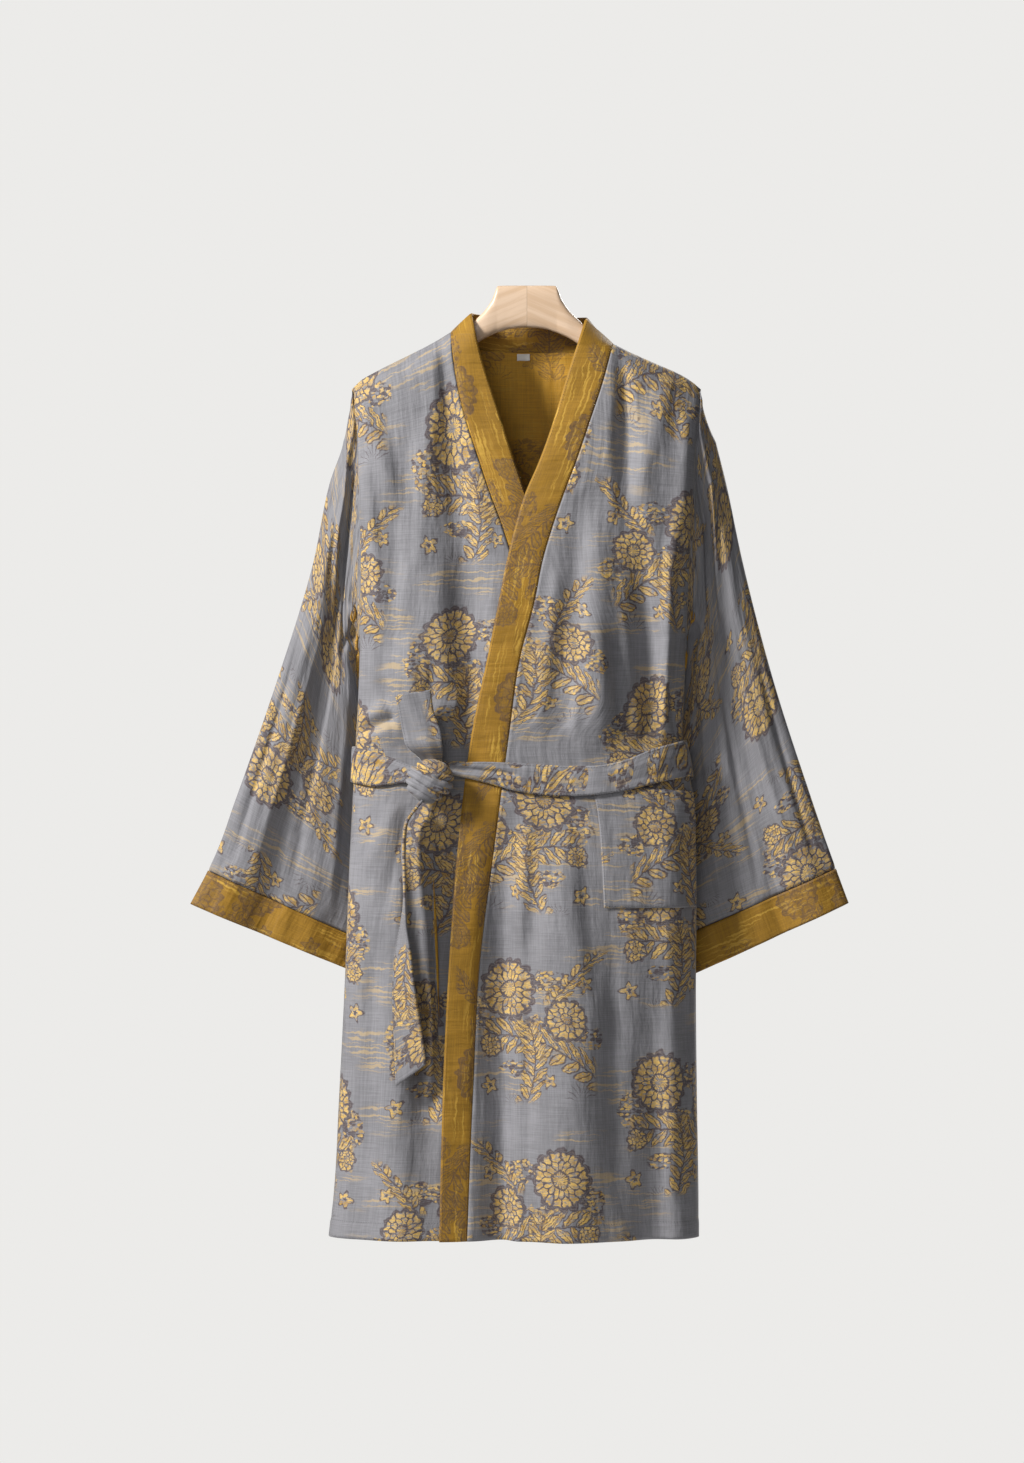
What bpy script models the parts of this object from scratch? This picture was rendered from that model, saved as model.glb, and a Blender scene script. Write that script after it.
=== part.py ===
"""A kimono robe of double gauze, tied with its own belt and hung on a wooden hanger.

Metres, +Z up, front towards -Y. The origin is the middle of the hanger's flat top, where it is held.
Right and left are the wearer's, so the right side lies at -X. The left front laps over the right one.
The cloth pieces are walls: a grid of points on the outer face, given its thickness inwards.
"""

import math

import bmesh
import bpy
import numpy as np

# Thickness of each kind of cloth, and the gap left at a seam
WALL = 0.002
BAND_WALL = 0.003
BELT_WALL = 0.003
SEAM = 0.0004

# Heights of the main points of the garment
HEM_Z = -1.0985
SHOULDER_TIP_Z = -0.1200
UNDERARM_Z = -0.4060
WAIST_Z = -0.5560

# How the cloth rolls over the shoulder seam and the side, and how deep the armhole stands open
SHOULDER_ROLL = 0.035
SIDE_FULLNESS = 4.0
SIDE_ROLL = 0.4545
BACK_SQUARENESS, BACK_ROUNDNESS = 0.62, 0.85
TUCK_REACH = 0.30
ARMHOLE_HALF = 0.020
LAP_LIFT = 0.0055

# Where the rows of the body's grid stop following the hem and start following the shoulder
BLEND_Z = -0.2500
NOMINAL_TOP_Z = -0.0540


def table(names, *rows):
    """A table with named columns, as a dict of arrays."""
    return dict(zip(names.split(), np.array(rows, float).T))


# Half width of the body at each height, on the wearer's right and left
OUTLINE = table(
    "z right left",
    (HEM_Z, 0.2289, 0.1985),
    (-1.0550, 0.2240, 0.1985),
    (-0.9396, 0.2174, 0.1967),
    (-0.8246, 0.2116, 0.1955),
    (-0.6520, 0.2047, 0.1955),
    (-0.5950, 0.2018, 0.1930),
    (-0.5560, 0.1995, 0.1865),
    (-0.5200, 0.1978, 0.1806),
    (-0.4796, 0.1955, 0.1817),
    (-0.4060, 0.1932, 0.1840),
    (-0.3186, 0.1920, 0.1875),
    (-0.2266, 0.1944, 0.1920),
    (-0.1690, 0.1965, 0.1960),
    (-0.1346, 0.2000, 0.1995),
    (-0.1200, 0.2024, 0.2012),
)

# How far the front and the back stand from the middle plane, and how far the back's sides tuck in
DEPTH = table(
    "z front back tuck",
    (HEM_Z, 0.056, 0.054, 0.004),
    (-0.9500, 0.053, 0.050, 0.024),
    (-0.8600, 0.050, 0.047, 0.047),
    (-0.7000, 0.047, 0.043, 0.052),
    (-0.6000, 0.043, 0.039, 0.044),
    (-0.5560, 0.040, 0.036, 0.036),
    (-0.5000, 0.043, 0.038, 0.028),
    (-0.4500, 0.045, 0.041, 0.014),
    (-0.4060, 0.046, 0.042, 0.000),
    (-0.3000, 0.043, 0.040, 0.000),
    (-0.2000, 0.036, 0.035, 0.000),
    (-0.1200, 0.029, 0.031, 0.000),
    (-0.0500, 0.026, 0.031, 0.000),
)

# The shoulder seam from the neck to the tip: distance out, and height on the right and on the left
SHOULDER = table(
    "x right left",
    (0.0600, -0.0390, -0.0450),
    (0.0886, -0.0541, -0.0605),
    (0.1000, -0.0612, -0.0672),
    (0.1150, -0.0697, -0.0748),
    (0.1310, -0.0778, -0.0822),
    (0.1500, -0.0872, -0.0906),
    (0.1665, -0.0953, -0.0976),
    (0.1800, -0.1025, -0.1042),
    (0.1930, -0.1104, -0.1128),
    (0.2024, -0.1200, -0.1210),
)
NECK_X = {"right": -0.0886, "left": 0.1000}
BACK_NECK_Z = -0.0755

# The seam that joins each front to the neckband, and the band's free edge
RIGHT_BAND = table(
    "z seam edge",
    (HEM_Z, 0.0620, 0.0960),
    (-0.9166, 0.0560, 0.0900),
    (-0.7924, 0.0480, 0.0840),
    (-0.6383, 0.0360, 0.0740),
    (-0.5152, 0.0220, 0.0620),
    (-0.4336, 0.0060, 0.0460),
    (-0.3186, -0.0170, 0.0230),
    (-0.2726, -0.0316, 0.0085),
    (-0.2404, -0.0437, -0.0023),
    (-0.2081, -0.0544, -0.0132),
    (-0.1346, -0.0771, -0.0368),
    (-0.0900, -0.0853, -0.0510),
    (-0.0541, -0.0886, -0.0600),
)
LEFT_BAND = table(
    "z seam edge",
    (HEM_Z, -0.0684, -0.1001),
    (-0.9166, -0.0610, -0.0955),
    (-0.7924, -0.0546, -0.0897),
    (-0.6383, -0.0359, -0.0784),
    (-0.5152, -0.0198, -0.0630),
    (-0.4336, -0.0081, -0.0460),
    (-0.3646, 0.0092, -0.0322),
    (-0.3186, 0.0184, -0.0230),
    (-0.2818, 0.0292, -0.0140),
    (-0.2427, 0.0426, -0.0023),
    (-0.2081, 0.0557, 0.0127),
    (-0.1576, 0.0730, 0.0307),
    (-0.1139, 0.0874, 0.0437),
    (-0.0672, 0.1000, 0.0587),
)

# Folds of the fronts. A positive rise stands out from the cloth and a negative one is a valley.
# The width is given on the fold's -X side and on its +X side.
RIGHT_FRONT_FOLDS = {
    "chest valley": table(
        "z x low high rise",
        (-0.5500, -0.0600, 0.040, 0.028, 0.000),
        (-0.4700, -0.0620, 0.040, 0.032, -0.015),
        (-0.3300, -0.0736, 0.034, 0.034, -0.012),
        (-0.2150, -0.0828, 0.028, 0.028, -0.010),
        (-0.1200, -0.0940, 0.016, 0.018, -0.006),
        (-0.0660, -0.1000, 0.010, 0.010, -0.001),
    ),
    "ridge under the knot": table(
        "z x low high rise",
        (-0.8900, -0.1005, 0.003, 0.003, 0.000),
        (-0.8418, -0.1030, 0.006, 0.005, 0.006),
        (-0.7625, -0.1060, 0.013, 0.010, 0.011),
        (-0.6716, -0.1095, 0.020, 0.016, 0.012),
        (-0.6100, -0.1120, 0.018, 0.016, 0.008),
        (-0.5850, -0.1120, 0.016, 0.016, 0.000),
    ),
    "valley beside the hanging end": table(
        "z x low high rise",
        (-1.0100, -0.1090, 0.020, 0.020, 0.000),
        (-0.9166, -0.1130, 0.022, 0.018, -0.007),
        (-0.8418, -0.1190, 0.018, 0.014, -0.010),
        (-0.7625, -0.1270, 0.016, 0.014, -0.009),
        (-0.6716, -0.1350, 0.014, 0.014, -0.006),
        (-0.6000, -0.1380, 0.014, 0.014, 0.000),
    ),
    "skirt ridge": table(
        "z x low high rise",
        (HEM_Z, -0.1500, 0.050, 0.046, 0.011),
        (-0.9500, -0.1510, 0.045, 0.034, 0.008),
        (-0.8000, -0.1560, 0.040, 0.030, 0.005),
        (-0.6200, -0.1600, 0.035, 0.030, 0.000),
    ),
    "blouse over the belt": table(
        "z x low high rise",
        (-0.5360, -0.1600, 0.035, 0.040, 0.000),
        (-0.5130, -0.1580, 0.035, 0.040, 0.007),
        (-0.4700, -0.1480, 0.030, 0.040, 0.004),
        (-0.4000, -0.1400, 0.030, 0.040, 0.000),
    ),
}
LEFT_FRONT_FOLDS = {
    "shoulder valley": table(
        "z x low high rise",
        (-0.3000, 0.1180, 0.026, 0.022, 0.000),
        (-0.2150, 0.1160, 0.024, 0.020, -0.008),
        (-0.1300, 0.1120, 0.018, 0.014, -0.007),
        (-0.0750, 0.1090, 0.012, 0.010, -0.001),
    ),
    "front ridge": table(
        "z x low high rise",
        (-0.5450, 0.0800, 0.045, 0.035, 0.000),
        (-0.5000, 0.0810, 0.045, 0.032, 0.009),
        (-0.3600, 0.0800, 0.040, 0.030, 0.006),
        (-0.2600, 0.0820, 0.035, 0.030, 0.000),
    ),
    "side valley": table(
        "z x low high rise",
        (-0.5450, 0.1380, 0.030, 0.020, 0.000),
        (-0.4900, 0.1390, 0.030, 0.020, -0.008),
        (-0.3400, 0.1320, 0.028, 0.024, -0.006),
        (-0.2700, 0.1280, 0.026, 0.024, 0.000),
    ),
    "side ridge": table(
        "z x low high rise",
        (-0.5220, 0.1620, 0.014, 0.010, 0.000),
        (-0.4800, 0.1620, 0.014, 0.010, 0.006),
        (-0.3200, 0.1660, 0.014, 0.011, 0.004),
        (-0.2500, 0.1680, 0.014, 0.011, 0.000),
    ),
    "pocket bulge": table(
        "z x low high rise",
        (-0.8300, 0.1720, 0.030, 0.018, 0.000),
        (-0.7000, 0.1700, 0.034, 0.018, 0.004),
        (-0.6200, 0.1700, 0.034, 0.018, 0.003),
        (-0.5850, 0.1700, 0.030, 0.018, 0.000),
    ),
}
# These run through both layers where the fronts lap
SHARED_FOLDS = {
    "lap valley": table(
        "z x low high rise",
        (HEM_Z, -0.0280, 0.040, 0.020, -0.013),
        (-0.9000, -0.0276, 0.040, 0.020, -0.011),
        (-0.6900, -0.0265, 0.036, 0.022, -0.007),
        (-0.6000, -0.0240, 0.030, 0.022, 0.000),
    ),
    "lap ridge": table(
        "z x low high rise",
        (HEM_Z, 0.0450, 0.050, 0.065, 0.012),
        (-0.9000, 0.0440, 0.048, 0.060, 0.010),
        (-0.7000, 0.0420, 0.045, 0.055, 0.006),
        (-0.6000, 0.0400, 0.040, 0.050, 0.000),
    ),
    "skirt valley": table(
        "z x low high rise",
        (HEM_Z, 0.1450, 0.048, 0.036, -0.010),
        (-0.9400, 0.1450, 0.046, 0.036, -0.007),
        (-0.7800, 0.1450, 0.042, 0.034, 0.000),
    ),
}
BACK_FOLDS = {
    "right skirt fold": table(
        "z x low high rise",
        (HEM_Z, -0.1250, 0.036, 0.030, 0.013),
        (-0.8000, -0.1080, 0.030, 0.028, 0.009),
        (-0.6100, -0.0950, 0.024, 0.024, 0.000),
    ),
    "right skirt valley": table(
        "z x low high rise",
        (HEM_Z, -0.0640, 0.034, 0.030, -0.010),
        (-0.8000, -0.0560, 0.028, 0.026, -0.008),
        (-0.6100, -0.0500, 0.024, 0.024, 0.000),
    ),
    "middle skirt fold": table(
        "z x low high rise",
        (HEM_Z, 0.0020, 0.034, 0.038, 0.012),
        (-0.8200, -0.0020, 0.030, 0.032, 0.008),
        (-0.6000, -0.0060, 0.024, 0.026, 0.000),
    ),
    "left skirt valley": table(
        "z x low high rise",
        (HEM_Z, 0.0680, 0.030, 0.032, -0.011),
        (-0.8000, 0.0600, 0.028, 0.026, -0.008),
        (-0.6100, 0.0520, 0.024, 0.022, 0.000),
    ),
    "left skirt fold": table(
        "z x low high rise",
        (HEM_Z, 0.1280, 0.030, 0.032, 0.012),
        (-0.8000, 0.1080, 0.026, 0.026, 0.008),
        (-0.6100, 0.0960, 0.022, 0.022, 0.000),
    ),
    "right blade fold": table(
        "z x low high rise",
        (-0.5380, -0.0820, 0.034, 0.030, 0.000),
        (-0.4900, -0.0840, 0.034, 0.030, 0.007),
        (-0.3200, -0.0960, 0.034, 0.032, 0.005),
        (-0.1800, -0.1080, 0.030, 0.030, 0.000),
    ),
    "left blade fold": table(
        "z x low high rise",
        (-0.5380, 0.0760, 0.030, 0.034, 0.000),
        (-0.4900, 0.0780, 0.030, 0.034, 0.008),
        (-0.3200, 0.0920, 0.030, 0.034, 0.005),
        (-0.1800, 0.1060, 0.028, 0.030, 0.000),
    ),
    "middle back valley": table(
        "z x low high rise",
        (-0.5380, -0.0060, 0.034, 0.034, 0.000),
        (-0.4700, -0.0040, 0.034, 0.034, -0.007),
        (-0.3000, 0.0020, 0.034, 0.034, -0.004),
        (-0.1600, 0.0040, 0.030, 0.030, 0.000),
    ),
}

# Each sleeve from armhole to cuff seam to cuff edge: its outer and inner fold lines, and their depth
CUFF_SEAM, CUFF_GAP = 0.935, 0.0010
RIGHT_SLEEVE = table(
    "along outer_x outer_z inner_x inner_z outer_y inner_y half",
    (0.000, 0.2028, -0.1200, 0.1936, -0.4060, 0.000, 0.000, 0.020),
    (0.060, 0.2120, -0.1480, 0.1965, -0.4290, 0.000, 0.010, 0.022),
    (0.120, 0.2122, -0.1800, 0.1950, -0.4520, 0.001, 0.020, 0.023),
    (0.200, 0.2277, -0.2266, 0.1915, -0.4830, 0.002, 0.030, 0.023),
    (0.350, 0.2480, -0.3230, 0.1860, -0.5410, 0.003, 0.037, 0.022),
    (0.550, 0.2900, -0.4590, 0.1800, -0.6180, 0.004, 0.040, 0.020),
    (0.750, 0.3365, -0.5920, 0.1745, -0.6960, 0.005, 0.040, 0.019),
    (0.935, 0.3692, -0.6762, 0.1712, -0.7680, 0.006, 0.040, 0.018),
    (1.000, 0.3899, -0.7153, 0.1695, -0.8085, 0.006, 0.040, 0.018),
)
LEFT_SLEEVE = table(
    "along outer_x outer_z inner_x inner_z outer_y inner_y half",
    (0.000, 0.2016, -0.1210, 0.1844, -0.4060, 0.000, 0.000, 0.020),
    (0.060, 0.2100, -0.1450, 0.1872, -0.4290, 0.000, 0.010, 0.022),
    (0.120, 0.2185, -0.1806, 0.1850, -0.4520, 0.001, 0.020, 0.023),
    (0.200, 0.2300, -0.2266, 0.1825, -0.4830, 0.002, 0.030, 0.023),
    (0.350, 0.2505, -0.3230, 0.1780, -0.5410, 0.003, 0.037, 0.022),
    (0.550, 0.2860, -0.4590, 0.1740, -0.6180, 0.004, 0.040, 0.020),
    (0.750, 0.3290, -0.5920, 0.1705, -0.6960, 0.005, 0.040, 0.019),
    (0.935, 0.3577, -0.6739, 0.1690, -0.7600, 0.006, 0.040, 0.018),
    (1.000, 0.3726, -0.7142, 0.1668, -0.8108, 0.006, 0.040, 0.018),
)
# How much flatter a sleeve is at its inner fold, and how soon it leaves the armhole's shape
SLEEVE_PINCH = 0.45
SLEEVE_ROUNDNESS = 0.8
ARMHOLE_REACH, FOLDS_REACH = 0.12, 0.25
# Soft folds that run down a sleeve: place across it, width, and rise, on its front and its back
SLEEVE_FOLDS = table(
    "side across width rise",
    (-1, 0.16, 0.10, 0.003),
    (-1, 0.36, 0.13, -0.006),
    (-1, 0.62, 0.12, 0.003),
    (1, 0.25, 0.13, 0.004),
    (1, 0.50, 0.13, -0.005),
    (1, 0.74, 0.12, 0.004),
)

# The neckband from the right shoulder, round the back of the neck, to the left shoulder
NECKBAND = table(
    "seam_x seam_y seam_z edge_x edge_y edge_z",
    (-0.0886, -0.0010, -0.0541, -0.0645, -0.0050, -0.0320),
    (-0.0815, 0.0170, -0.0600, -0.0640, 0.0170, -0.0300),
    (-0.0600, 0.0290, -0.0690, -0.0530, 0.0300, -0.0310),
    (-0.0300, 0.0325, -0.0740, -0.0280, 0.0350, -0.0325),
    (0.0000, 0.0330, -0.0755, 0.0000, 0.0360, -0.0330),
    (0.0350, 0.0325, -0.0748, 0.0330, 0.0350, -0.0335),
    (0.0680, 0.0290, -0.0725, 0.0590, 0.0300, -0.0340),
    (0.0920, 0.0170, -0.0690, 0.0700, 0.0170, -0.0350),
    (0.1000, -0.0010, -0.0672, 0.0680, -0.0050, -0.0390),
)

# The belt's upper and lower edge along the front, right and left of the knot
BELT_FRONT = table(
    "x top bottom",
    (-0.2045, -0.5330, -0.5740),
    (-0.1750, -0.5400, -0.5790),
    (-0.1500, -0.5480, -0.5760),
    (-0.1350, -0.5540, -0.5745),
    (-0.0870, -0.5495, -0.5660),
    (-0.0700, -0.5505, -0.5690),
    (-0.0480, -0.5505, -0.5745),
    (-0.0080, -0.5520, -0.5850),
    (0.0480, -0.5550, -0.5900),
    (0.0900, -0.5535, -0.5865),
    (0.1170, -0.5470, -0.5820),
    (0.1450, -0.5365, -0.5750),
    (0.1905, -0.5250, -0.5665),
)
BELT_BACK_TOP, BELT_BACK_BOTTOM = -0.5330, -0.5720
BELT_CLEAR = 0.0043
BELT_OVER_POCKET = 0.0030
BELT_COLUMNS, BELT_ROWS = 96, 3

KNOT_CENTRE = (-0.1110, -0.0657, -0.5727)
KNOT_HALF = (0.0260, 0.0175, 0.0235)
KNOT_PASS = 0.0040

# The short end of the belt above the knot, and the long end that hangs and twists below it
UPPER_END = table(
    "z left right y lean",
    (-0.5535, -0.1180, -0.0990, -0.0525, 0.000),
    (-0.5470, -0.1230, -0.0970, -0.0557, 0.000),
    (-0.5333, -0.1371, -0.0967, -0.0650, 0.002),
    (-0.5157, -0.1423, -0.0989, -0.0640, 0.004),
    (-0.4951, -0.1461, -0.1063, -0.0620, 0.003),
    (-0.4710, -0.1510, -0.1100, -0.0600, 0.001),
)
LOWER_END = table(
    "z x y half turn",
    (-0.5935, -0.1215, -0.0657, 0.0085, 86.0),
    (-0.6168, -0.1386, -0.0680, 0.0155, 86.0),
    (-0.6390, -0.1424, -0.0690, 0.0165, 87.0),
    (-0.6636, -0.1430, -0.0690, 0.0170, 87.0),
    (-0.7188, -0.1416, -0.0700, 0.0175, 85.0),
    (-0.7372, -0.1424, -0.0700, 0.0175, 80.0),
    (-0.7740, -0.1432, -0.0700, 0.0175, 58.0),
    (-0.8476, -0.1384, -0.0690, 0.0178, 34.0),
    (-0.8930, -0.1342, -0.0685, 0.0180, 22.0),
    (-0.9080, -0.1330, -0.0685, 0.0180, 20.0),
)
LOWER_END_SLANT = 0.0130

# The pocket, by its distance from the side seam and its height
POCKET_NEAR, POCKET_FAR = 0.012, 0.136
POCKET_TOP, POCKET_BOTTOM = -0.5800, -0.7180
POCKET_CORNER_DROP = 0.0060
POCKET_WALL, POCKET_LIFT = 0.0015, 0.0014

LABEL_X, LABEL_WIDTH, LABEL_DROP, LABEL_WALL = -0.0040, 0.0150, 0.0080, 0.0008

# The hanger: a flat top, arms that slope under the shoulders, and the grain's two halves
HANGER = table(
    "x top bottom half",
    (0.0000, 0.0000, -0.0483, 0.0080),
    (0.0120, 0.0000, -0.0489, 0.0080),
    (0.0230, 0.0000, -0.0506, 0.0080),
    (0.0310, -0.0002, -0.0533, 0.0080),
    (0.0345, -0.0006, -0.0545, 0.0080),
    (0.0372, -0.0080, -0.0556, 0.0081),
    (0.0400, -0.0160, -0.0568, 0.0082),
    (0.0480, -0.0285, -0.0605, 0.0085),
    (0.0620, -0.0420, -0.0690, 0.0080),
    (0.0860, -0.0655, -0.0915, 0.0085),
    (0.1150, -0.0830, -0.1100, 0.0105),
    (0.1500, -0.1010, -0.1270, 0.0125),
    (0.1670, -0.1109, -0.1369, 0.0128),
    (0.1770, -0.1180, -0.1425, 0.0125),
    (0.1830, -0.1230, -0.1440, 0.0115),
    (0.1870, -0.1300, -0.1410, 0.0080),
)
HANGER_SIDES = 16
HANGER_EDGE = 0.62
SOCKET_RADIUS, SOCKET_DEPTH = 0.0018, 0.0200

# Rows of the body's grid, from the hem to the shoulder, and columns of each piece
LEVELS = (
    HEM_Z, -1.0200, -0.9400, -0.8600, -0.7800, -0.7000, -0.6400, -0.6000, -0.5780, -0.5560, -0.5340,
    -0.5100, -0.4600, -0.4060, -0.3500, -0.3000, -0.2500, -0.2000, -0.1550, -0.1200, -0.0930, -0.0760,
    -0.0650, -0.0580, -0.0540,
)
FRONT_COLUMNS = 16
BACK_COLUMNS = (8, 8, 8)
SLEEVE_COLUMNS, SLEEVE_RINGS = 28, 14
FINE = 240
# Passes that bring a front's top edge onto the shoulder seam
SEAM_PASSES = 6


def through(xs, ys, x):
    """The value at x of a smooth curve through the points. It stays level past both ends."""
    x = np.clip(x, xs[0], xs[-1])
    slope = np.gradient(ys, xs)
    i = np.clip(np.searchsorted(xs, x, side="right") - 1, 0, len(xs) - 2)
    width = xs[i + 1] - xs[i]
    t = (x - xs[i]) / width
    start = (1 + 2 * t) * (1 - t) ** 2 * ys[i] + t * (1 - t) ** 2 * width * slope[i]
    end = t * t * (3 - 2 * t) * ys[i + 1] + t * t * (t - 1) * width * slope[i + 1]
    return start + end


def read(rows, key, column, at):
    return through(rows[key], rows[column], at)


def side_of(x):
    """The outline's two columns, chosen by the sign of x."""
    return np.asarray(x) < 0


def half_width(x, z):
    return np.where(side_of(x), read(OUTLINE, "z", "right", z), read(OUTLINE, "z", "left", z))


def shoulder_z(x):
    out = np.abs(x)
    return np.where(side_of(x), read(SHOULDER, "x", "right", out), read(SHOULDER, "x", "left", out))


def roll(below):
    """How far the cloth has rolled over the shoulder seam, from 0 on the seam to 1."""
    t = np.clip(below / SHOULDER_ROLL, 0, 1)
    return np.sqrt(1 - (1 - t) ** 2)


def armhole_half(z):
    """Half the width of the open armhole at a height. It closes at the shoulder tip and the underarm."""
    t = np.clip((SHOULDER_TIP_Z - z) / (SHOULDER_TIP_Z - UNDERARM_Z), 0, 1)
    return ARMHOLE_HALF * (4 * t * (1 - t)) ** 0.4 * roll(SHOULDER_TIP_Z - z)


def fold(folds, x, z):
    """The rise of a set of folds at a point."""
    rise = np.zeros(np.broadcast(x, z).shape)
    for rows in folds.values():
        off = x - read(rows, "z", "x", z)
        width = np.where(off < 0, read(rows, "z", "low", z), read(rows, "z", "high", z))
        bump = 0.5 + 0.5 * np.cos(np.pi * np.clip(off / width, -1, 1))
        within = (z >= rows["z"][0] - 1e-6) & (z <= rows["z"][-1] + 1e-6)
        rise = rise + np.where(within, read(rows, "z", "rise", z), 0) * bump
    return rise


def edge_fade(x, z):
    """1 on the body and 0 at its side, so that folds die out before the side seam."""
    return np.clip((1 - np.abs(x) / half_width(x, z)) / 0.06, 0, 1)


def front_y(x, z, lift, folds):
    """The outer face of a front. lift is how far it stands over the cloth it laps."""
    ratio = np.clip(np.abs(x) / half_width(x, z), 0, 1)
    full = (1 - ratio**SIDE_FULLNESS) ** SIDE_ROLL
    edge = np.maximum(armhole_half(z) - WALL, 0)
    depth = edge + (read(DEPTH, "z", "front", z) + lift - edge) * full
    rise = (fold(SHARED_FOLDS, x, z) + fold(folds, x, z)) * edge_fade(x, z)
    return -(depth + rise) * roll(shoulder_z(x) - z)


def right_front_y(x, z):
    return front_y(x, z, 0.0, RIGHT_FRONT_FOLDS)


def left_front_y(x, z):
    lift = LAP_LIFT * np.clip((-0.10 - z) / 0.10, 0, 1)
    return front_y(x, z, lift, LEFT_FRONT_FOLDS)


def back_xy(turn, z):
    """A point of the back at an angle, from 0 at the left side seam to pi at the right one."""
    c, s = np.cos(turn), np.sin(turn)
    inside = np.clip((1 - np.abs(c)) / TUCK_REACH, 0, 1)
    tuck = read(DEPTH, "z", "tuck", z) * inside * inside * (3 - 2 * inside)
    x = np.sign(c) * (half_width(c, z) - tuck) * np.abs(c) ** BACK_SQUARENESS
    edge = np.maximum(armhole_half(z) - WALL, 0)
    depth = edge + (read(DEPTH, "z", "back", z) - edge) * np.maximum(s, 0) ** BACK_ROUNDNESS
    fade = np.clip((0.93 - np.abs(c)) / 0.15, 0, 1)
    return x, (depth + fold(BACK_FOLDS, x, z) * fade) * roll(shoulder_z(x) - z)


def at_level(level, top):
    """The height of a row where the panel ends at top: rows below BLEND_Z stay level."""
    share = (top - BLEND_Z) / (NOMINAL_TOP_Z - BLEND_Z)
    return np.where(level < BLEND_Z, level, BLEND_Z + (level - BLEND_Z) * share)


def even(points, count):
    """count + 1 points spaced evenly along a polyline."""
    steps = np.linalg.norm(np.diff(points, axis=0), axis=1)
    length = np.concatenate([[0], np.cumsum(steps)])
    wanted = np.linspace(0, length[-1], count + 1)
    return np.stack([np.interp(wanted, length, points[:, i]) for i in range(3)], axis=1)


def front_row(side, level):
    """One row of a front, from its side edge to the neckband's seam."""
    right = side == "right"
    sign, band = (-1, RIGHT_BAND) if right else (1, LEFT_BAND)
    t = 1 - np.cos(np.linspace(0, np.pi / 2, FINE + 1))
    tip_x = sign * OUTLINE[side][-1]
    x = tip_x + (NECK_X[side] - tip_x) * t
    for _ in range(SEAM_PASSES):
        z = at_level(level, shoulder_z(x))
        start = sign * read(OUTLINE, "z", side, z)
        x = start + (read(band, "z", "seam", z) - start) * t
    z = at_level(level, shoulder_z(x))
    y = right_front_y(x, z) if right else left_front_y(x, z)
    return np.stack([x, y - SEAM / 2, z], axis=1)


def neckline_z(x):
    """The back's top edge: the shoulder seam, and the neck's own line between the shoulders."""
    edge = np.where(side_of(x), NECK_X["right"], NECK_X["left"])
    inside = np.clip(x / edge, 0, 1)
    neck = BACK_NECK_Z + (shoulder_z(edge) - BACK_NECK_Z) * inside**3
    return np.where(np.abs(x) < np.abs(edge), neck, shoulder_z(x))


def back_row(level):
    """One row of the back, from the left side edge to the right one, even within each third."""
    turn = np.linspace(0, np.pi, 3 * FINE + 1)
    guess, _ = back_xy(turn, np.full_like(turn, max(level, SHOULDER_TIP_Z)))
    z = at_level(level, neckline_z(guess))
    x, y = back_xy(turn, z)
    points = np.stack([x, y + SEAM / 2, z], axis=1)
    cuts = [np.argmin(np.abs(x - NECK_X[name])) for name in ("left", "right")]
    thirds = (points[: cuts[0] + 1], points[cuts[0] : cuts[1] + 1], points[cuts[1] :])
    rows = [even(third, count) for third, count in zip(thirds, BACK_COLUMNS)]
    return np.concatenate([rows[0], rows[1][1:], rows[2][1:]])


def normals_of(grid, closed):
    """Unit normals of a grid of points, right-handed from its columns to its rows."""
    if closed:
        across = np.roll(grid, -1, axis=1) - np.roll(grid, 1, axis=1)
    else:
        across = np.gradient(grid, axis=1)
    normal = np.cross(across, np.gradient(grid, axis=0))
    return normal / np.linalg.norm(normal, axis=2, keepdims=True)


def flattened(normal, axes):
    """Normals without their part along the axes, for an edge that meets another piece."""
    kept = normal.copy()
    kept[..., list(axes)] = 0
    return kept / np.maximum(np.linalg.norm(kept, axis=-1, keepdims=True), 1e-9)


def corner_normal(normal, column, beside):
    """The normal at a shoulder tip: midway between the side edge's and the shoulder seam's."""
    both = normal[-2, column] + normal[-1, beside]
    normal[-1, column] = both / np.linalg.norm(both)


def material(name, colour, roughness):
    made = bpy.data.materials.get(name) or bpy.data.materials.new(name)
    made.use_nodes = True
    shader = made.node_tree.nodes["Principled BSDF"]
    shader.inputs["Base Color"].default_value = (*colour, 1)
    shader.inputs["Roughness"].default_value = roughness
    shader.inputs["Metallic"].default_value = 0
    return made


MATERIALS = {
    "grey": ((0.300, 0.300, 0.330), 0.80),
    "ochre": ((0.420, 0.260, 0.050), 0.70),
    "white": ((0.900, 0.900, 0.880), 0.60),
    "wood": ((0.800, 0.620, 0.440), 0.45),
}


def add_object(name, bm, material_name):
    mesh = bpy.data.meshes.new(name)
    bmesh.ops.recalc_face_normals(bm, faces=bm.faces)
    bm.to_mesh(mesh)
    bm.free()
    mesh.materials.append(material(material_name, *MATERIALS[material_name]))
    mesh.shade_smooth()
    mesh.set_sharp_from_angle(angle=math.radians(50))
    made = bpy.data.objects.new(name, mesh)
    bpy.context.scene.collection.objects.link(made)
    return made


def sheet(bm, grid, closed):
    """A grid of quads through the points. A closed one joins its last column to its first."""
    rows, columns = grid.shape[:2]
    verts = [[bm.verts.new(point) for point in row] for row in grid]
    for i in range(rows - 1):
        for j in range(columns if closed else columns - 1):
            k = (j + 1) % columns
            bm.faces.new((verts[i][j], verts[i][k], verts[i + 1][k], verts[i + 1][j]))
    return verts


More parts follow.
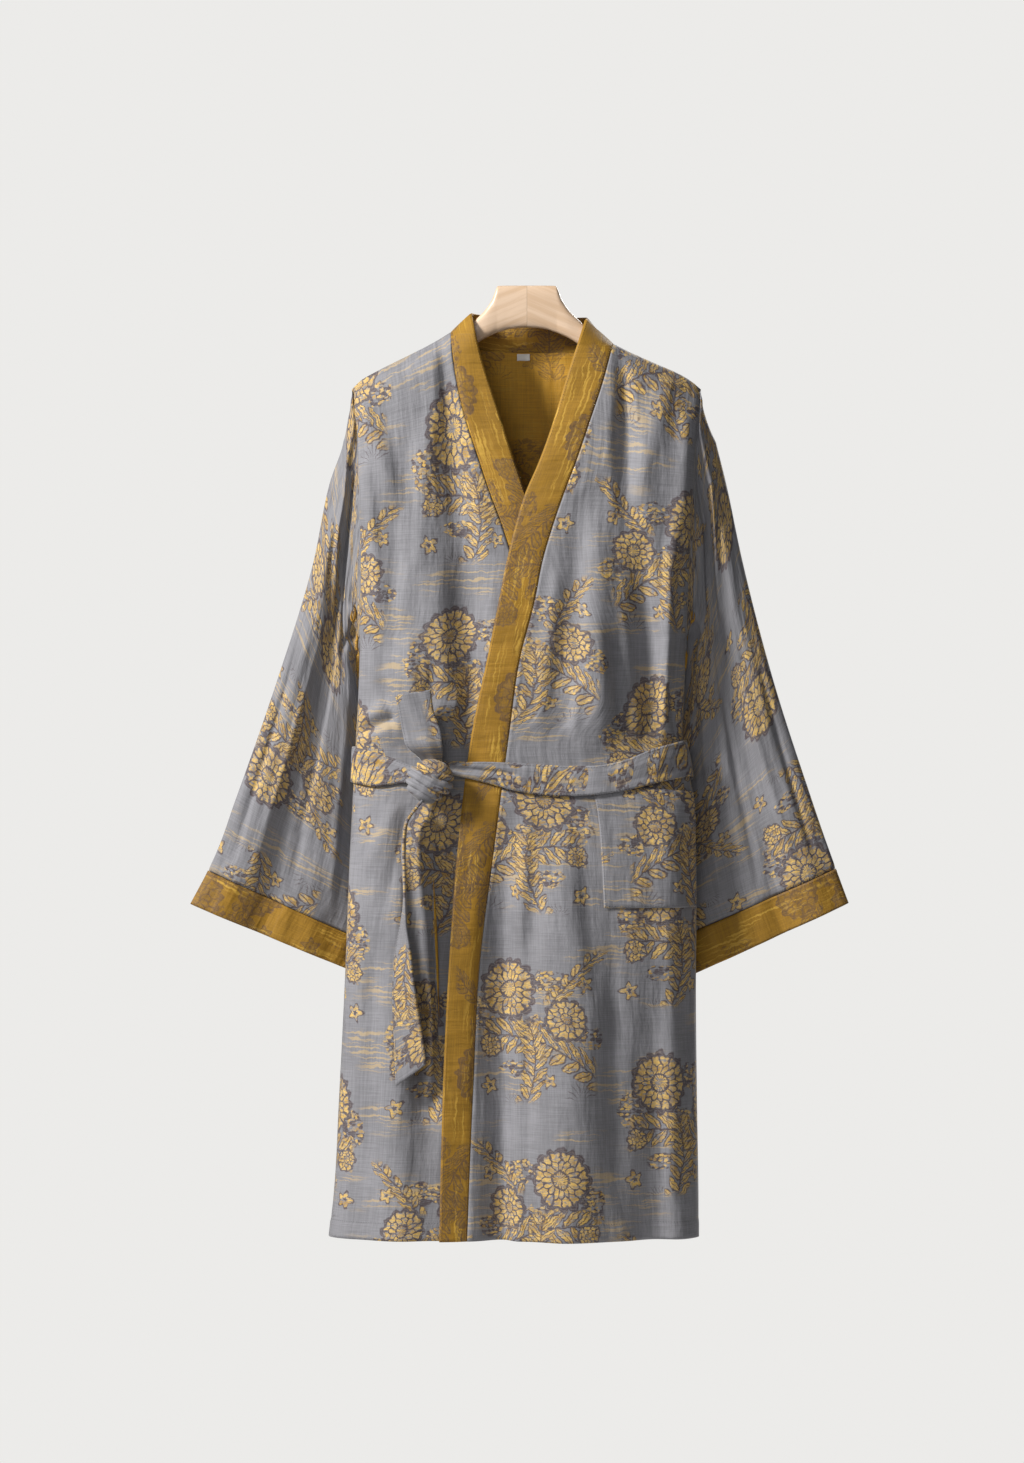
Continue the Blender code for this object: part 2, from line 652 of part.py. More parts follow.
def add_wall(name, grid, normal, thickness, material_name, closed=False):
    """A cloth piece: the grid is its outer face, and the same faces extruded inwards close it."""
    bm = bmesh.new()
    outer = sheet(bm, grid, closed)
    inner = grid - normal * thickness
    place = {vert: inner[i, j] for i, row in enumerate(outer) for j, vert in enumerate(row)}
    order = list(place)
    made = bmesh.ops.extrude_face_region(bm, geom=list(bm.faces), use_keep_orig=True)
    fresh = [item for item in made["geom"] if isinstance(item, bmesh.types.BMVert)]
    nearest = {tuple(round(c, 7) for c in vert.co): vert for vert in fresh}
    for vert in order:
        nearest[tuple(round(c, 7) for c in vert.co)].co = place[vert]
    return add_object(name, bm, material_name)


def panel_normals(grid, sign, seams):
    """Outward normals of a body panel. seams names the edges that meet another piece at y = 0."""
    normal = normals_of(grid, False) * sign
    if "side" in seams:
        normal[:, 0] = flattened(normal[:, 0], (1,))
    if "far side" in seams:
        normal[:, -1] = flattened(normal[:, -1], (1,))
    if "band" in seams:
        normal[:, -1] = flattened(normal[:, -1], (0,))
    if "top" in seams:
        normal[-1] = flattened(normal[-1], (1,))
        corner_normal(normal, 0, 1)
    return normal


def add_fronts():
    for side, sign in (("right", 1), ("left", -1)):
        grid = np.array([even(front_row(side, level), FRONT_COLUMNS) for level in LEVELS])
        normal = panel_normals(grid, sign, ("side", "band", "top"))
        add_wall(f"front_{side}", grid, normal, WALL, "grey")


def add_back():
    grid = np.array([back_row(level) for level in LEVELS])
    normal = panel_normals(grid, 1, ("side", "far side"))
    shoulders = (slice(0, BACK_COLUMNS[0] + 1), slice(-BACK_COLUMNS[2] - 1, None))
    for columns in shoulders:
        normal[-1, columns] = flattened(normal[-1, columns], (1,))
    corner_normal(normal, 0, 1)
    corner_normal(normal, -1, -2)
    neck = slice(BACK_COLUMNS[0] + 1, -BACK_COLUMNS[2] - 1)
    normal[-1, neck] = flattened(normal[-1, neck], (2,))
    add_wall("back", grid, normal, WALL, "grey")


def sleeve_grid(side, first, last, rings):
    """Rings of a sleeve. Each starts on the outer fold and runs over the front to the inner fold."""
    rows, sign = (RIGHT_SLEEVE, -1) if side == "right" else (LEFT_SLEEVE, 1)
    turn = np.linspace(0, 2 * np.pi, SLEEVE_COLUMNS, endpoint=False)
    across = (1 - np.cos(turn)) / 2
    face = np.where(np.sin(turn) >= 0, -1, 1)
    grid = []
    for s in np.linspace(first, last, rings + 1):
        now = {name: through(rows["along"], rows[name], s) for name in rows}
        z = now["outer_z"] + (now["inner_z"] - now["outer_z"]) * across
        x = now["outer_x"] + (now["inner_x"] - now["outer_x"]) * across
        middle = now["outer_y"] + (now["inner_y"] - now["outer_y"]) * across
        half = now["half"] * np.abs(np.sin(turn)) ** SLEEVE_ROUNDNESS * (1 - SLEEVE_PINCH * across**2)
        start = np.clip(1 - s / ARMHOLE_REACH, 0, 1)
        armhole_x = read(OUTLINE, "z", side, z) + SEAM
        x = x + (armhole_x - x) * start
        half = half + (armhole_half(z) - half) * start
        rise = np.zeros_like(across)
        for fold_side, place, width, height in zip(*SLEEVE_FOLDS.values()):
            bump = 0.5 + 0.5 * np.cos(np.pi * np.clip((across - place) / width, -1, 1))
            rise += np.where(face == fold_side, height, 0) * bump
        half = half + rise * np.clip(s / FOLDS_REACH, 0, 1)
        grid.append(np.stack([sign * x, middle + face * half, z], axis=1))
    return np.array(grid)


def add_sleeves():
    for side, sign in (("right", -1), ("left", 1)):
        grid = sleeve_grid(side, 0.0, CUFF_SEAM, SLEEVE_RINGS)
        normal = normals_of(grid, True) * sign
        normal[0] = flattened(normal[0], (0,))
        add_wall(f"sleeve_{side}", grid, normal, WALL, "grey", closed=True)
        cuff = sleeve_grid(side, CUFF_SEAM + CUFF_GAP, 1.0, 3)
        normal = normals_of(cuff, True) * sign
        add_wall(f"cuff_{side}", cuff, normal, BAND_WALL, "ochre", closed=True)


def band_front_rows(side, heights):
    """The neckband's rows down one front, each from the seam to the free edge."""
    rows, y_of = (RIGHT_BAND, right_front_y) if side == "right" else (LEFT_BAND, left_front_y)
    toward = 1 if side == "right" else -1
    made = []
    for z in heights:
        seam = read(rows, "z", "seam", z) + toward * SEAM
        x = np.linspace(seam, read(rows, "z", "edge", z), 4)
        made.append(np.stack([x, y_of(x, z) - SEAM / 2, np.full(4, z)], axis=1))
    return made


def band_neck_rows():
    """The neckband's rows round the back of the neck, between the two shoulders."""
    n = NECKBAND
    at = np.arange(len(n["seam_x"]))
    made = []
    for t in np.linspace(0, at[-1], 2 * len(at) - 1):
        rails = ([through(at, n[f"{rail}_{axis}"], t) for axis in "xyz"] for rail in ("seam", "edge"))
        seam, edge = (np.array(rail) for rail in rails)
        width = np.linalg.norm(edge - seam)
        seam = seam + (edge - seam) * (SEAM + WALL) / width
        share = np.linspace(0, 1, 4)[:, None]
        made.append(seam + (edge - seam) * share)
    return made


def add_neckband():
    down = [level for level in LEVELS if level < -0.075]
    right = band_front_rows("right", down + [-0.0690, -0.0630, -0.0585, -0.0560])
    left = band_front_rows("left", [-0.0695] + down[::-1])
    round_neck = band_neck_rows()
    grid = np.array(right + round_neck + left)
    normal = normals_of(grid, False)
    first, last = len(right) + 1, len(right) + len(round_neck) - 1
    normal[first:last, 0] = flattened(normal[first:last, 0], (2,))
    for rows in (slice(0, len(right)), slice(len(right) + len(round_neck), None)):
        normal[rows, 0] = flattened(normal[rows, 0], (0,))
    add_wall("neckband", grid, normal, BAND_WALL, "ochre")


def belt_section(turn, z):
    """The body's section at a height, moved out by the belt's clearance: the back, then the front."""
    points = []
    for step in (-0.002, 0.002, 0.0):
        at = np.mod(turn + step, 2 * np.pi)
        c = np.cos(at)
        front_x = half_width(c, z) * np.sign(c) * np.abs(c) ** 0.5
        on_lap = np.clip((front_x + 0.150) / 0.045, 0, 1)
        ratio = np.clip(np.abs(front_x) / half_width(c, z), 0, 1)
        depth = read(DEPTH, "z", "front", z) + LAP_LIFT * on_lap
        depth = depth + BELT_OVER_POCKET * np.clip((front_x - 0.050) / 0.030, 0, 1)
        back_x, back_y = back_xy(np.clip(at, 0, np.pi), z)
        behind = at <= np.pi
        x = np.where(behind, back_x, front_x)
        points.append((x, np.where(behind, back_y, -depth * (1 - ratio**SIDE_FULLNESS) ** SIDE_ROLL)))
    (x0, y0), (x1, y1), (x, y) = points
    length = np.hypot(x1 - x0, y1 - y0)
    return x + (y1 - y0) / length * BELT_CLEAR, y - (x1 - x0) / length * BELT_CLEAR


def belt_heights(x, y):
    """The belt's upper and lower edge at a point of its route."""
    on_front = np.clip(0.5 - y / 0.02, 0, 1)
    top = BELT_BACK_TOP + (read(BELT_FRONT, "x", "top", x) - BELT_BACK_TOP) * on_front
    bottom = BELT_BACK_BOTTOM + (read(BELT_FRONT, "x", "bottom", x) - BELT_BACK_BOTTOM) * on_front
    return top, bottom


def add_belt_waist():
    turn = np.linspace(0, 2 * np.pi, 8 * FINE + 1)
    x, y = belt_section(turn, np.full_like(turn, WAIST_Z))
    order = np.argsort(np.where((y < 0) & (x > KNOT_CENTRE[0]), turn - 2 * np.pi, turn), kind="stable")
    keep = (y > 0) | (np.abs(x - KNOT_CENTRE[0]) > KNOT_PASS)
    order = order[keep[order]]
    turn, x, y = np.where((y < 0) & (x > KNOT_CENTRE[0]), turn - 2 * np.pi, turn)[order], x[order], y[order]
    length = np.concatenate([[0], np.cumsum(np.hypot(np.diff(x), np.diff(y)))])
    turn = np.interp(np.linspace(0, length[-1], BELT_COLUMNS + 1), length, turn)
    x, y = belt_section(turn, np.full_like(turn, WAIST_Z))
    top, bottom = belt_heights(x, y)
    grid = []
    for share in np.linspace(0, 1, BELT_ROWS + 1):
        z = bottom + (top - bottom) * share
        x, y = belt_section(turn, z)
        grid.append(np.stack([x, y, z], axis=1))
    grid = np.array(grid)
    add_wall("belt_waist", grid, normals_of(grid, False), BELT_WALL, "grey")


def add_knot():
    """The knot: a round lump with the turns of the belt as grooves that slant across it."""
    bm = bmesh.new()
    bmesh.ops.create_uvsphere(bm, u_segments=28, v_segments=18, radius=1)
    for vert in bm.verts:
        x, y, z = vert.co
        slant = 0.90 * z + 0.44 * x
        turns = [(0.36, 0.15, 0.14), (-0.34, 0.15, 0.16), (0.02, 0.16, -0.06)]
        size = 1 - sum(deep * math.exp(-(((slant - at) / wide) ** 2)) for at, wide, deep in turns)
        narrow = 1 - 0.22 * max(-z, 0) ** 2
        vert.co = [KNOT_CENTRE[i] + KNOT_HALF[i] * value * size for i, value in enumerate((x * narrow, y, z))]
    add_object("belt_knot", bm, "grey")


def add_belt_ends():
    n = UPPER_END
    share = np.linspace(0, 1, 5)
    grid = []
    for z in np.linspace(n["z"][0], n["z"][-1], 9):
        left, right = through(n["z"], n["left"], z), through(n["z"], n["right"], z)
        curve = 0.003 * np.sin(np.pi * share) + through(n["z"], n["lean"], z) * (share - 0.5)
        y = through(n["z"], n["y"], z) - curve
        grid.append(np.stack([left + (right - left) * share, y, np.full(5, z)], axis=1))
    grid = np.array(grid)
    grid[..., 2] += 0.0060 * np.linspace(0, 1, 9)[:, None] * (share - 0.5)
    add_wall("belt_end_up", grid, normals_of(grid, False), BELT_WALL, "grey")
    n = {name: values[::-1] for name, values in LOWER_END.items()}
    grid = []
    for z in np.linspace(LOWER_END["z"][0], LOWER_END["z"][-1], 21):
        now = {name: through(n["z"], n[name], z) for name in n}
        turn = math.radians(now["turn"])
        off = (share * 2 - 1) * now["half"]
        x, y = now["x"] + off * math.cos(turn), now["y"] - off * math.sin(turn)
        grid.append(np.stack([x, y, np.full(5, z)], axis=1))
    grid = np.array(grid)
    slant = np.clip((-0.83 - grid[..., 2]) / 0.07, 0, 1)
    grid[..., 2] += slant * LOWER_END_SLANT * (share - 0.5) * 2
    add_wall("belt_end_down", grid, -normals_of(grid, False), BELT_WALL, "grey")


def add_pocket():
    """The pocket: points of the left front between two distances from the side seam, moved out."""
    rows = []
    for share in np.linspace(0, 1, 8):
        z = POCKET_BOTTOM + (POCKET_TOP - POCKET_BOTTOM) * share
        dense = front_row("left", z)
        length = np.concatenate([[0], np.cumsum(np.linalg.norm(np.diff(dense, axis=0), axis=1))])
        wanted = np.linspace(POCKET_NEAR, POCKET_FAR, 9)
        rows.append(np.stack([np.interp(wanted, length, dense[:, i]) for i in range(3)], axis=1))
    under = np.array(rows)
    normal = -normals_of(under, False)
    grid = under + normal * (POCKET_WALL + POCKET_LIFT)
    near = np.linspace(1, 0, 9)[None, :] ** 2
    high = np.linspace(0, 1, 8)[:, None] ** 3
    grid += normal * (0.0020 * near * high)[..., None]
    grid[..., 2] -= POCKET_CORNER_DROP * near * high
    add_wall("pocket", grid, normal, POCKET_WALL, "grey")


def back_inside_y(x, z):
    """The back's inner face behind a point."""
    turn = np.linspace(0, np.pi, FINE + 1)
    xs, ys = back_xy(turn, np.full_like(turn, z))
    return np.interp(x, xs[::-1], ys[::-1]) + SEAM / 2 - WALL


def add_label():
    """The blank label that hangs from the neck seam on the inside of the back."""
    top = BACK_NECK_Z - 0.0010
    x = np.linspace(LABEL_X - LABEL_WIDTH / 2, LABEL_X + LABEL_WIDTH / 2, 4)
    rows = []
    for z in (top - LABEL_DROP, top):
        rows.append(np.stack([x, back_inside_y(x, z) - SEAM - LABEL_WALL, np.full(4, z)], axis=1))
    grid = np.array(rows)
    add_wall("neck_label", grid, normals_of(grid, False), LABEL_WALL, "white")


def add_hanger():
    """The hanger: rounded sections lofted from tip to tip, with a blind hole for its hook's shank."""
    n = HANGER
    out = n["x"]
    places = np.concatenate([-out[:0:-1], out])
    turn = np.linspace(0, 2 * np.pi, HANGER_SIDES, endpoint=False) + np.pi / HANGER_SIDES
    grid = []
    for x in places:
        top, bottom, half = (np.interp(abs(x), n["x"], n[name]) for name in ("top", "bottom", "half"))
        c, s = np.cos(turn), np.sin(turn)
        y = half * np.sign(c) * np.abs(c) ** HANGER_EDGE
        z = (top + bottom) / 2 + (top - bottom) / 2 * np.sign(s) * np.abs(s) ** HANGER_EDGE
        grid.append(np.stack([np.full_like(y, x), y, z], axis=1))
    bm = bmesh.new()
    verts = sheet(bm, np.array(grid), True)
    bm.faces.new(verts[0])
    bm.faces.new(verts[-1][::-1])
    hanger = add_object("hanger", bm, "wood")
    bm = bmesh.new()
    size = {"radius1": SOCKET_RADIUS, "radius2": SOCKET_RADIUS, "depth": 2 * SOCKET_DEPTH}
    bmesh.ops.create_cone(bm, cap_ends=True, segments=12, **size)
    cutter = add_object("socket_cutter", bm, "wood")
    cutter.hide_render = True
    cutter.display_type = "WIRE"
    cut = hanger.modifiers.new("socket", "BOOLEAN")
    cut.operation = "DIFFERENCE"
    cut.object = cutter


def main():
    for old in list(bpy.data.objects):
        bpy.data.objects.remove(old)
    add_hanger()
    add_back()
    add_fronts()
    add_sleeves()
    add_neckband()
    add_pocket()
    add_belt_waist()
    add_knot()
    add_belt_ends()
    add_label()


main()
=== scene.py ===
"""The looks of a kimono robe of jacquard double gauze on its wooden hanger.

Metres, +Z up, front towards -Y. Right and left are the wearer's, so the right side lies at -X.
Each piece of cloth is a fine grid on the outer face of its solid, with the same tables of sizes and
more creases, and a wall behind it. Cloth faces are finished by their UV map, which is in metres.
"""

import math
from functools import partialmethod

import bmesh
import bpy
import numpy as np
from bpy.props import FloatProperty, FloatVectorProperty, PointerProperty
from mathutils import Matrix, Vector


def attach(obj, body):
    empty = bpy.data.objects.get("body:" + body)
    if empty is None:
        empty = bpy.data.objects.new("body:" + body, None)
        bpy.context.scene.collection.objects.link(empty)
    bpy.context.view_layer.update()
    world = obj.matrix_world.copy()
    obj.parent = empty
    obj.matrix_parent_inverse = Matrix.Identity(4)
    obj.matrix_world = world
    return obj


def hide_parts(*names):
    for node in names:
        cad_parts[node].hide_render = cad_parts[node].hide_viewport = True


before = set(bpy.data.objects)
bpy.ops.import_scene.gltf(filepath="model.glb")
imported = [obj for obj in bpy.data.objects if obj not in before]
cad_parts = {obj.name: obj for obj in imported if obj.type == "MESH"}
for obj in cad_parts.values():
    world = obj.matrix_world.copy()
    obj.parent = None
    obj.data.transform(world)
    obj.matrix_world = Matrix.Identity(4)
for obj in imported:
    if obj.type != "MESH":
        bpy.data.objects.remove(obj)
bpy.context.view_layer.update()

bl_info = {
    "name": "Kimono robe",
    "version": (1, 0, 0),
    "blender": (4, 5, 0),
    "location": "View3D > Sidebar > Robe",
    "description": "Makes the cloth, the hanger and the stage of a hung kimono robe",
    "category": "Object",
}

# Thickness of each kind of cloth
WALL = 0.002
BAND_WALL = 0.003
BELT_WALL = 0.003

# Heights of the main points of the garment
HEM_Z = -1.0985
SHOULDER_TIP_Z = -0.1200
UNDERARM_Z = -0.4060
WAIST_Z = -0.5560

# How the cloth rolls over the shoulder seam and the side, and how deep the armhole stands open
SHOULDER_ROLL = 0.035
SIDE_FULLNESS = 4.0
SIDE_ROLL = 0.4545
BACK_SQUARENESS, BACK_ROUNDNESS = 0.62, 0.85
TUCK_REACH = 0.30
ARMHOLE_HALF = 0.020
LAP_LIFT = 0.0055

# Passes that bring a front's top edge onto the shoulder seam
SEAM_PASSES = 6
# Where the rows of the body's grid stop following the hem and start following the shoulder
BLEND_Z = -0.2500
NOMINAL_TOP_Z = -0.0540


def table(names, *rows):
    """A table with named columns, as a dict of arrays."""
    return dict(zip(names.split(), np.array(rows, float).T))


def fold_set(folds):
    """Named folds, each with a row for each height."""
    return {name: table("z x low high rise", *rows) for name, rows in folds.items()}


# Half width of the body at each height, on the wearer's right and left
OUTLINE = table(
    "z right left",
    (HEM_Z, 0.2289, 0.1985),
    (-1.0550, 0.2240, 0.1985),
    (-0.9396, 0.2174, 0.1967),
    (-0.8246, 0.2116, 0.1955),
    (-0.6520, 0.2047, 0.1955),
    (-0.5950, 0.2018, 0.1930),
    (-0.5560, 0.1995, 0.1865),
    (-0.5200, 0.1978, 0.1806),
    (-0.4796, 0.1955, 0.1817),
    (-0.4060, 0.1932, 0.1840),
    (-0.3186, 0.1920, 0.1875),
    (-0.2266, 0.1944, 0.1920),
    (-0.1690, 0.1965, 0.1960),
    (-0.1346, 0.2000, 0.1995),
    (-0.1200, 0.2024, 0.2012),
)

# How far the front and the back stand from the middle plane, and how far the back's sides tuck in
DEPTH = table(
    "z front back tuck",
    (HEM_Z, 0.056, 0.054, 0.004),
    (-0.9500, 0.053, 0.050, 0.024),
    (-0.8600, 0.050, 0.047, 0.047),
    (-0.7000, 0.047, 0.043, 0.052),
    (-0.6000, 0.043, 0.039, 0.044),
    (-0.5560, 0.040, 0.036, 0.036),
    (-0.5000, 0.043, 0.038, 0.028),
    (-0.4500, 0.045, 0.041, 0.014),
    (-0.4060, 0.046, 0.042, 0.000),
    (-0.3000, 0.043, 0.040, 0.000),
    (-0.2000, 0.036, 0.035, 0.000),
    (-0.1200, 0.029, 0.031, 0.000),
    (-0.0500, 0.026, 0.031, 0.000),
)

# The shoulder seam from the neck to the tip: distance out, and height on the right and on the left
SHOULDER = table(
    "x right left",
    (0.0600, -0.0390, -0.0450),
    (0.0886, -0.0541, -0.0605),
    (0.1000, -0.0612, -0.0672),
    (0.1150, -0.0697, -0.0748),
    (0.1310, -0.0778, -0.0822),
    (0.1500, -0.0872, -0.0906),
    (0.1665, -0.0953, -0.0976),
    (0.1800, -0.1025, -0.1042),
    (0.1930, -0.1104, -0.1128),
    (0.2024, -0.1200, -0.1210),
)
NECK_X = {"right": -0.0886, "left": 0.1000}
BACK_NECK_Z = -0.0755

# The seam that joins each front to the neckband, and the band's free edge
RIGHT_BAND = table(
    "z seam edge",
    (HEM_Z, 0.0620, 0.0960),
    (-0.9166, 0.0560, 0.0900),
    (-0.7924, 0.0480, 0.0840),
    (-0.6383, 0.0360, 0.0740),
    (-0.5152, 0.0220, 0.0620),
    (-0.4336, 0.0060, 0.0460),
    (-0.3186, -0.0170, 0.0230),
    (-0.2726, -0.0316, 0.0085),
    (-0.2404, -0.0437, -0.0023),
    (-0.2081, -0.0544, -0.0132),
    (-0.1346, -0.0771, -0.0368),
    (-0.0900, -0.0853, -0.0510),
    (-0.0541, -0.0886, -0.0600),
)
LEFT_BAND = table(
    "z seam edge",
    (HEM_Z, -0.0684, -0.1001),
    (-0.9166, -0.0610, -0.0955),
    (-0.7924, -0.0546, -0.0897),
    (-0.6383, -0.0359, -0.0784),
    (-0.5152, -0.0198, -0.0630),
    (-0.4336, -0.0081, -0.0460),
    (-0.3646, 0.0092, -0.0322),
    (-0.3186, 0.0184, -0.0230),
    (-0.2818, 0.0292, -0.0140),
    (-0.2427, 0.0426, -0.0023),
    (-0.2081, 0.0557, 0.0127),
    (-0.1576, 0.0730, 0.0307),
    (-0.1139, 0.0874, 0.0437),
    (-0.0672, 0.1000, 0.0587),
)

# Folds of the fronts. A positive rise stands out from the cloth and a negative one is a valley.
# The width is given on the fold's -X side and on its +X side.
RIGHT_FRONT_FOLDS = fold_set({
    "chest valley": (
        (-0.5500, -0.0600, 0.040, 0.028, 0.000),
        (-0.4700, -0.0620, 0.040, 0.032, -0.015),
        (-0.3300, -0.0736, 0.034, 0.034, -0.012),
        (-0.2150, -0.0828, 0.028, 0.028, -0.010),
        (-0.1200, -0.0940, 0.016, 0.018, -0.006),
        (-0.0660, -0.1000, 0.010, 0.010, -0.001),
    ),
    "ridge under the knot": (
        (-0.8900, -0.1005, 0.003, 0.003, 0.000),
        (-0.8418, -0.1030, 0.006, 0.005, 0.006),
        (-0.7625, -0.1060, 0.013, 0.010, 0.011),
        (-0.6716, -0.1095, 0.020, 0.016, 0.012),
        (-0.6100, -0.1120, 0.018, 0.016, 0.008),
        (-0.5850, -0.1120, 0.016, 0.016, 0.000),
    ),
    "valley beside the hanging end": (
        (-1.0100, -0.1090, 0.020, 0.020, 0.000),
        (-0.9166, -0.1130, 0.022, 0.018, -0.007),
        (-0.8418, -0.1190, 0.018, 0.014, -0.010),
        (-0.7625, -0.1270, 0.016, 0.014, -0.009),
        (-0.6716, -0.1350, 0.014, 0.014, -0.006),
        (-0.6000, -0.1380, 0.014, 0.014, 0.000),
    ),
    "skirt ridge": (
        (HEM_Z, -0.1500, 0.050, 0.046, 0.011),
        (-0.9500, -0.1510, 0.045, 0.034, 0.008),
        (-0.8000, -0.1560, 0.040, 0.030, 0.005),
        (-0.6200, -0.1600, 0.035, 0.030, 0.000),
    ),
    "blouse over the belt": (
        (-0.5360, -0.1600, 0.035, 0.040, 0.000),
        (-0.5130, -0.1580, 0.035, 0.040, 0.007),
        (-0.4700, -0.1480, 0.030, 0.040, 0.004),
        (-0.4000, -0.1400, 0.030, 0.040, 0.000),
    ),
})
LEFT_FRONT_FOLDS = fold_set({
    "shoulder valley": (
        (-0.3000, 0.1180, 0.026, 0.022, 0.000),
        (-0.2150, 0.1160, 0.024, 0.020, -0.008),
        (-0.1300, 0.1120, 0.018, 0.014, -0.007),
        (-0.0750, 0.1090, 0.012, 0.010, -0.001),
    ),
    "front ridge": (
        (-0.5450, 0.0800, 0.045, 0.035, 0.000),
        (-0.5000, 0.0810, 0.045, 0.032, 0.009),
        (-0.3600, 0.0800, 0.040, 0.030, 0.006),
        (-0.2600, 0.0820, 0.035, 0.030, 0.000),
    ),
    "side valley": (
        (-0.5450, 0.1380, 0.030, 0.020, 0.000),
        (-0.4900, 0.1390, 0.030, 0.020, -0.008),
        (-0.3400, 0.1320, 0.028, 0.024, -0.006),
        (-0.2700, 0.1280, 0.026, 0.024, 0.000),
    ),
    "side ridge": (
        (-0.5220, 0.1620, 0.014, 0.010, 0.000),
        (-0.4800, 0.1620, 0.014, 0.010, 0.006),
        (-0.3200, 0.1660, 0.014, 0.011, 0.004),
        (-0.2500, 0.1680, 0.014, 0.011, 0.000),
    ),
    "pocket bulge": (
        (-0.8300, 0.1720, 0.030, 0.018, 0.000),
        (-0.7000, 0.1700, 0.034, 0.018, 0.004),
        (-0.6200, 0.1700, 0.034, 0.018, 0.003),
        (-0.5850, 0.1700, 0.030, 0.018, 0.000),
    ),
})
# These run through both layers where the fronts lap
SHARED_FOLDS = fold_set({
    "lap valley": (
        (HEM_Z, -0.0280, 0.040, 0.020, -0.013),
        (-0.9000, -0.0276, 0.040, 0.020, -0.011),
        (-0.6900, -0.0265, 0.036, 0.022, -0.007),
        (-0.6000, -0.0240, 0.030, 0.022, 0.000),
    ),
    "lap ridge": (
        (HEM_Z, 0.0450, 0.050, 0.065, 0.012),
        (-0.9000, 0.0440, 0.048, 0.060, 0.010),
        (-0.7000, 0.0420, 0.045, 0.055, 0.006),
        (-0.6000, 0.0400, 0.040, 0.050, 0.000),
    ),
    "skirt valley": (
        (HEM_Z, 0.1450, 0.048, 0.036, -0.010),
        (-0.9400, 0.1450, 0.046, 0.036, -0.007),
        (-0.7800, 0.1450, 0.042, 0.034, 0.000),
    ),
})
BACK_FOLDS = fold_set({
    "right skirt fold": (
        (HEM_Z, -0.1250, 0.036, 0.030, 0.013),
        (-0.8000, -0.1080, 0.030, 0.028, 0.009),
        (-0.6100, -0.0950, 0.024, 0.024, 0.000),
    ),
    "right skirt valley": (
        (HEM_Z, -0.0640, 0.034, 0.030, -0.010),
        (-0.8000, -0.0560, 0.028, 0.026, -0.008),
        (-0.6100, -0.0500, 0.024, 0.024, 0.000),
    ),
    "middle skirt fold": (
        (HEM_Z, 0.0020, 0.034, 0.038, 0.012),
        (-0.8200, -0.0020, 0.030, 0.032, 0.008),
        (-0.6000, -0.0060, 0.024, 0.026, 0.000),
    ),
    "left skirt valley": (
        (HEM_Z, 0.0680, 0.030, 0.032, -0.011),
        (-0.8000, 0.0600, 0.028, 0.026, -0.008),
        (-0.6100, 0.0520, 0.024, 0.022, 0.000),
    ),
    "left skirt fold": (
        (HEM_Z, 0.1280, 0.030, 0.032, 0.012),
        (-0.8000, 0.1080, 0.026, 0.026, 0.008),
        (-0.6100, 0.0960, 0.022, 0.022, 0.000),
    ),
    "right blade fold": (
        (-0.5380, -0.0820, 0.034, 0.030, 0.000),
        (-0.4900, -0.0840, 0.034, 0.030, 0.007),
        (-0.3200, -0.0960, 0.034, 0.032, 0.005),
        (-0.1800, -0.1080, 0.030, 0.030, 0.000),
    ),
    "left blade fold": (
        (-0.5380, 0.0760, 0.030, 0.034, 0.000),
        (-0.4900, 0.0780, 0.030, 0.034, 0.008),
        (-0.3200, 0.0920, 0.030, 0.034, 0.005),
        (-0.1800, 0.1060, 0.028, 0.030, 0.000),
    ),
    "middle back valley": (
        (-0.5380, -0.0060, 0.034, 0.034, 0.000),
        (-0.4700, -0.0040, 0.034, 0.034, -0.007),
        (-0.3000, 0.0020, 0.034, 0.034, -0.004),
        (-0.1600, 0.0040, 0.030, 0.030, 0.000),
    ),
})

# Each sleeve from armhole to cuff seam to cuff edge: its outer and inner fold lines, and their depth
CUFF_SEAM, CUFF_GAP = 0.935, 0.0010
RIGHT_SLEEVE = table(
    "along outer_x outer_z inner_x inner_z outer_y inner_y half",
    (0.000, 0.2028, -0.1200, 0.1936, -0.4060, 0.000, 0.000, 0.020),
    (0.060, 0.2120, -0.1480, 0.1965, -0.4290, 0.000, 0.010, 0.022),
    (0.120, 0.2122, -0.1800, 0.1950, -0.4520, 0.001, 0.020, 0.023),
    (0.200, 0.2277, -0.2266, 0.1915, -0.4830, 0.002, 0.030, 0.023),
    (0.350, 0.2480, -0.3230, 0.1860, -0.5410, 0.003, 0.037, 0.022),
    (0.550, 0.2900, -0.4590, 0.1800, -0.6180, 0.004, 0.040, 0.020),
    (0.750, 0.3365, -0.5920, 0.1745, -0.6960, 0.005, 0.040, 0.019),
    (0.935, 0.3692, -0.6762, 0.1712, -0.7680, 0.006, 0.040, 0.018),
    (1.000, 0.3899, -0.7153, 0.1695, -0.8085, 0.006, 0.040, 0.018),
)
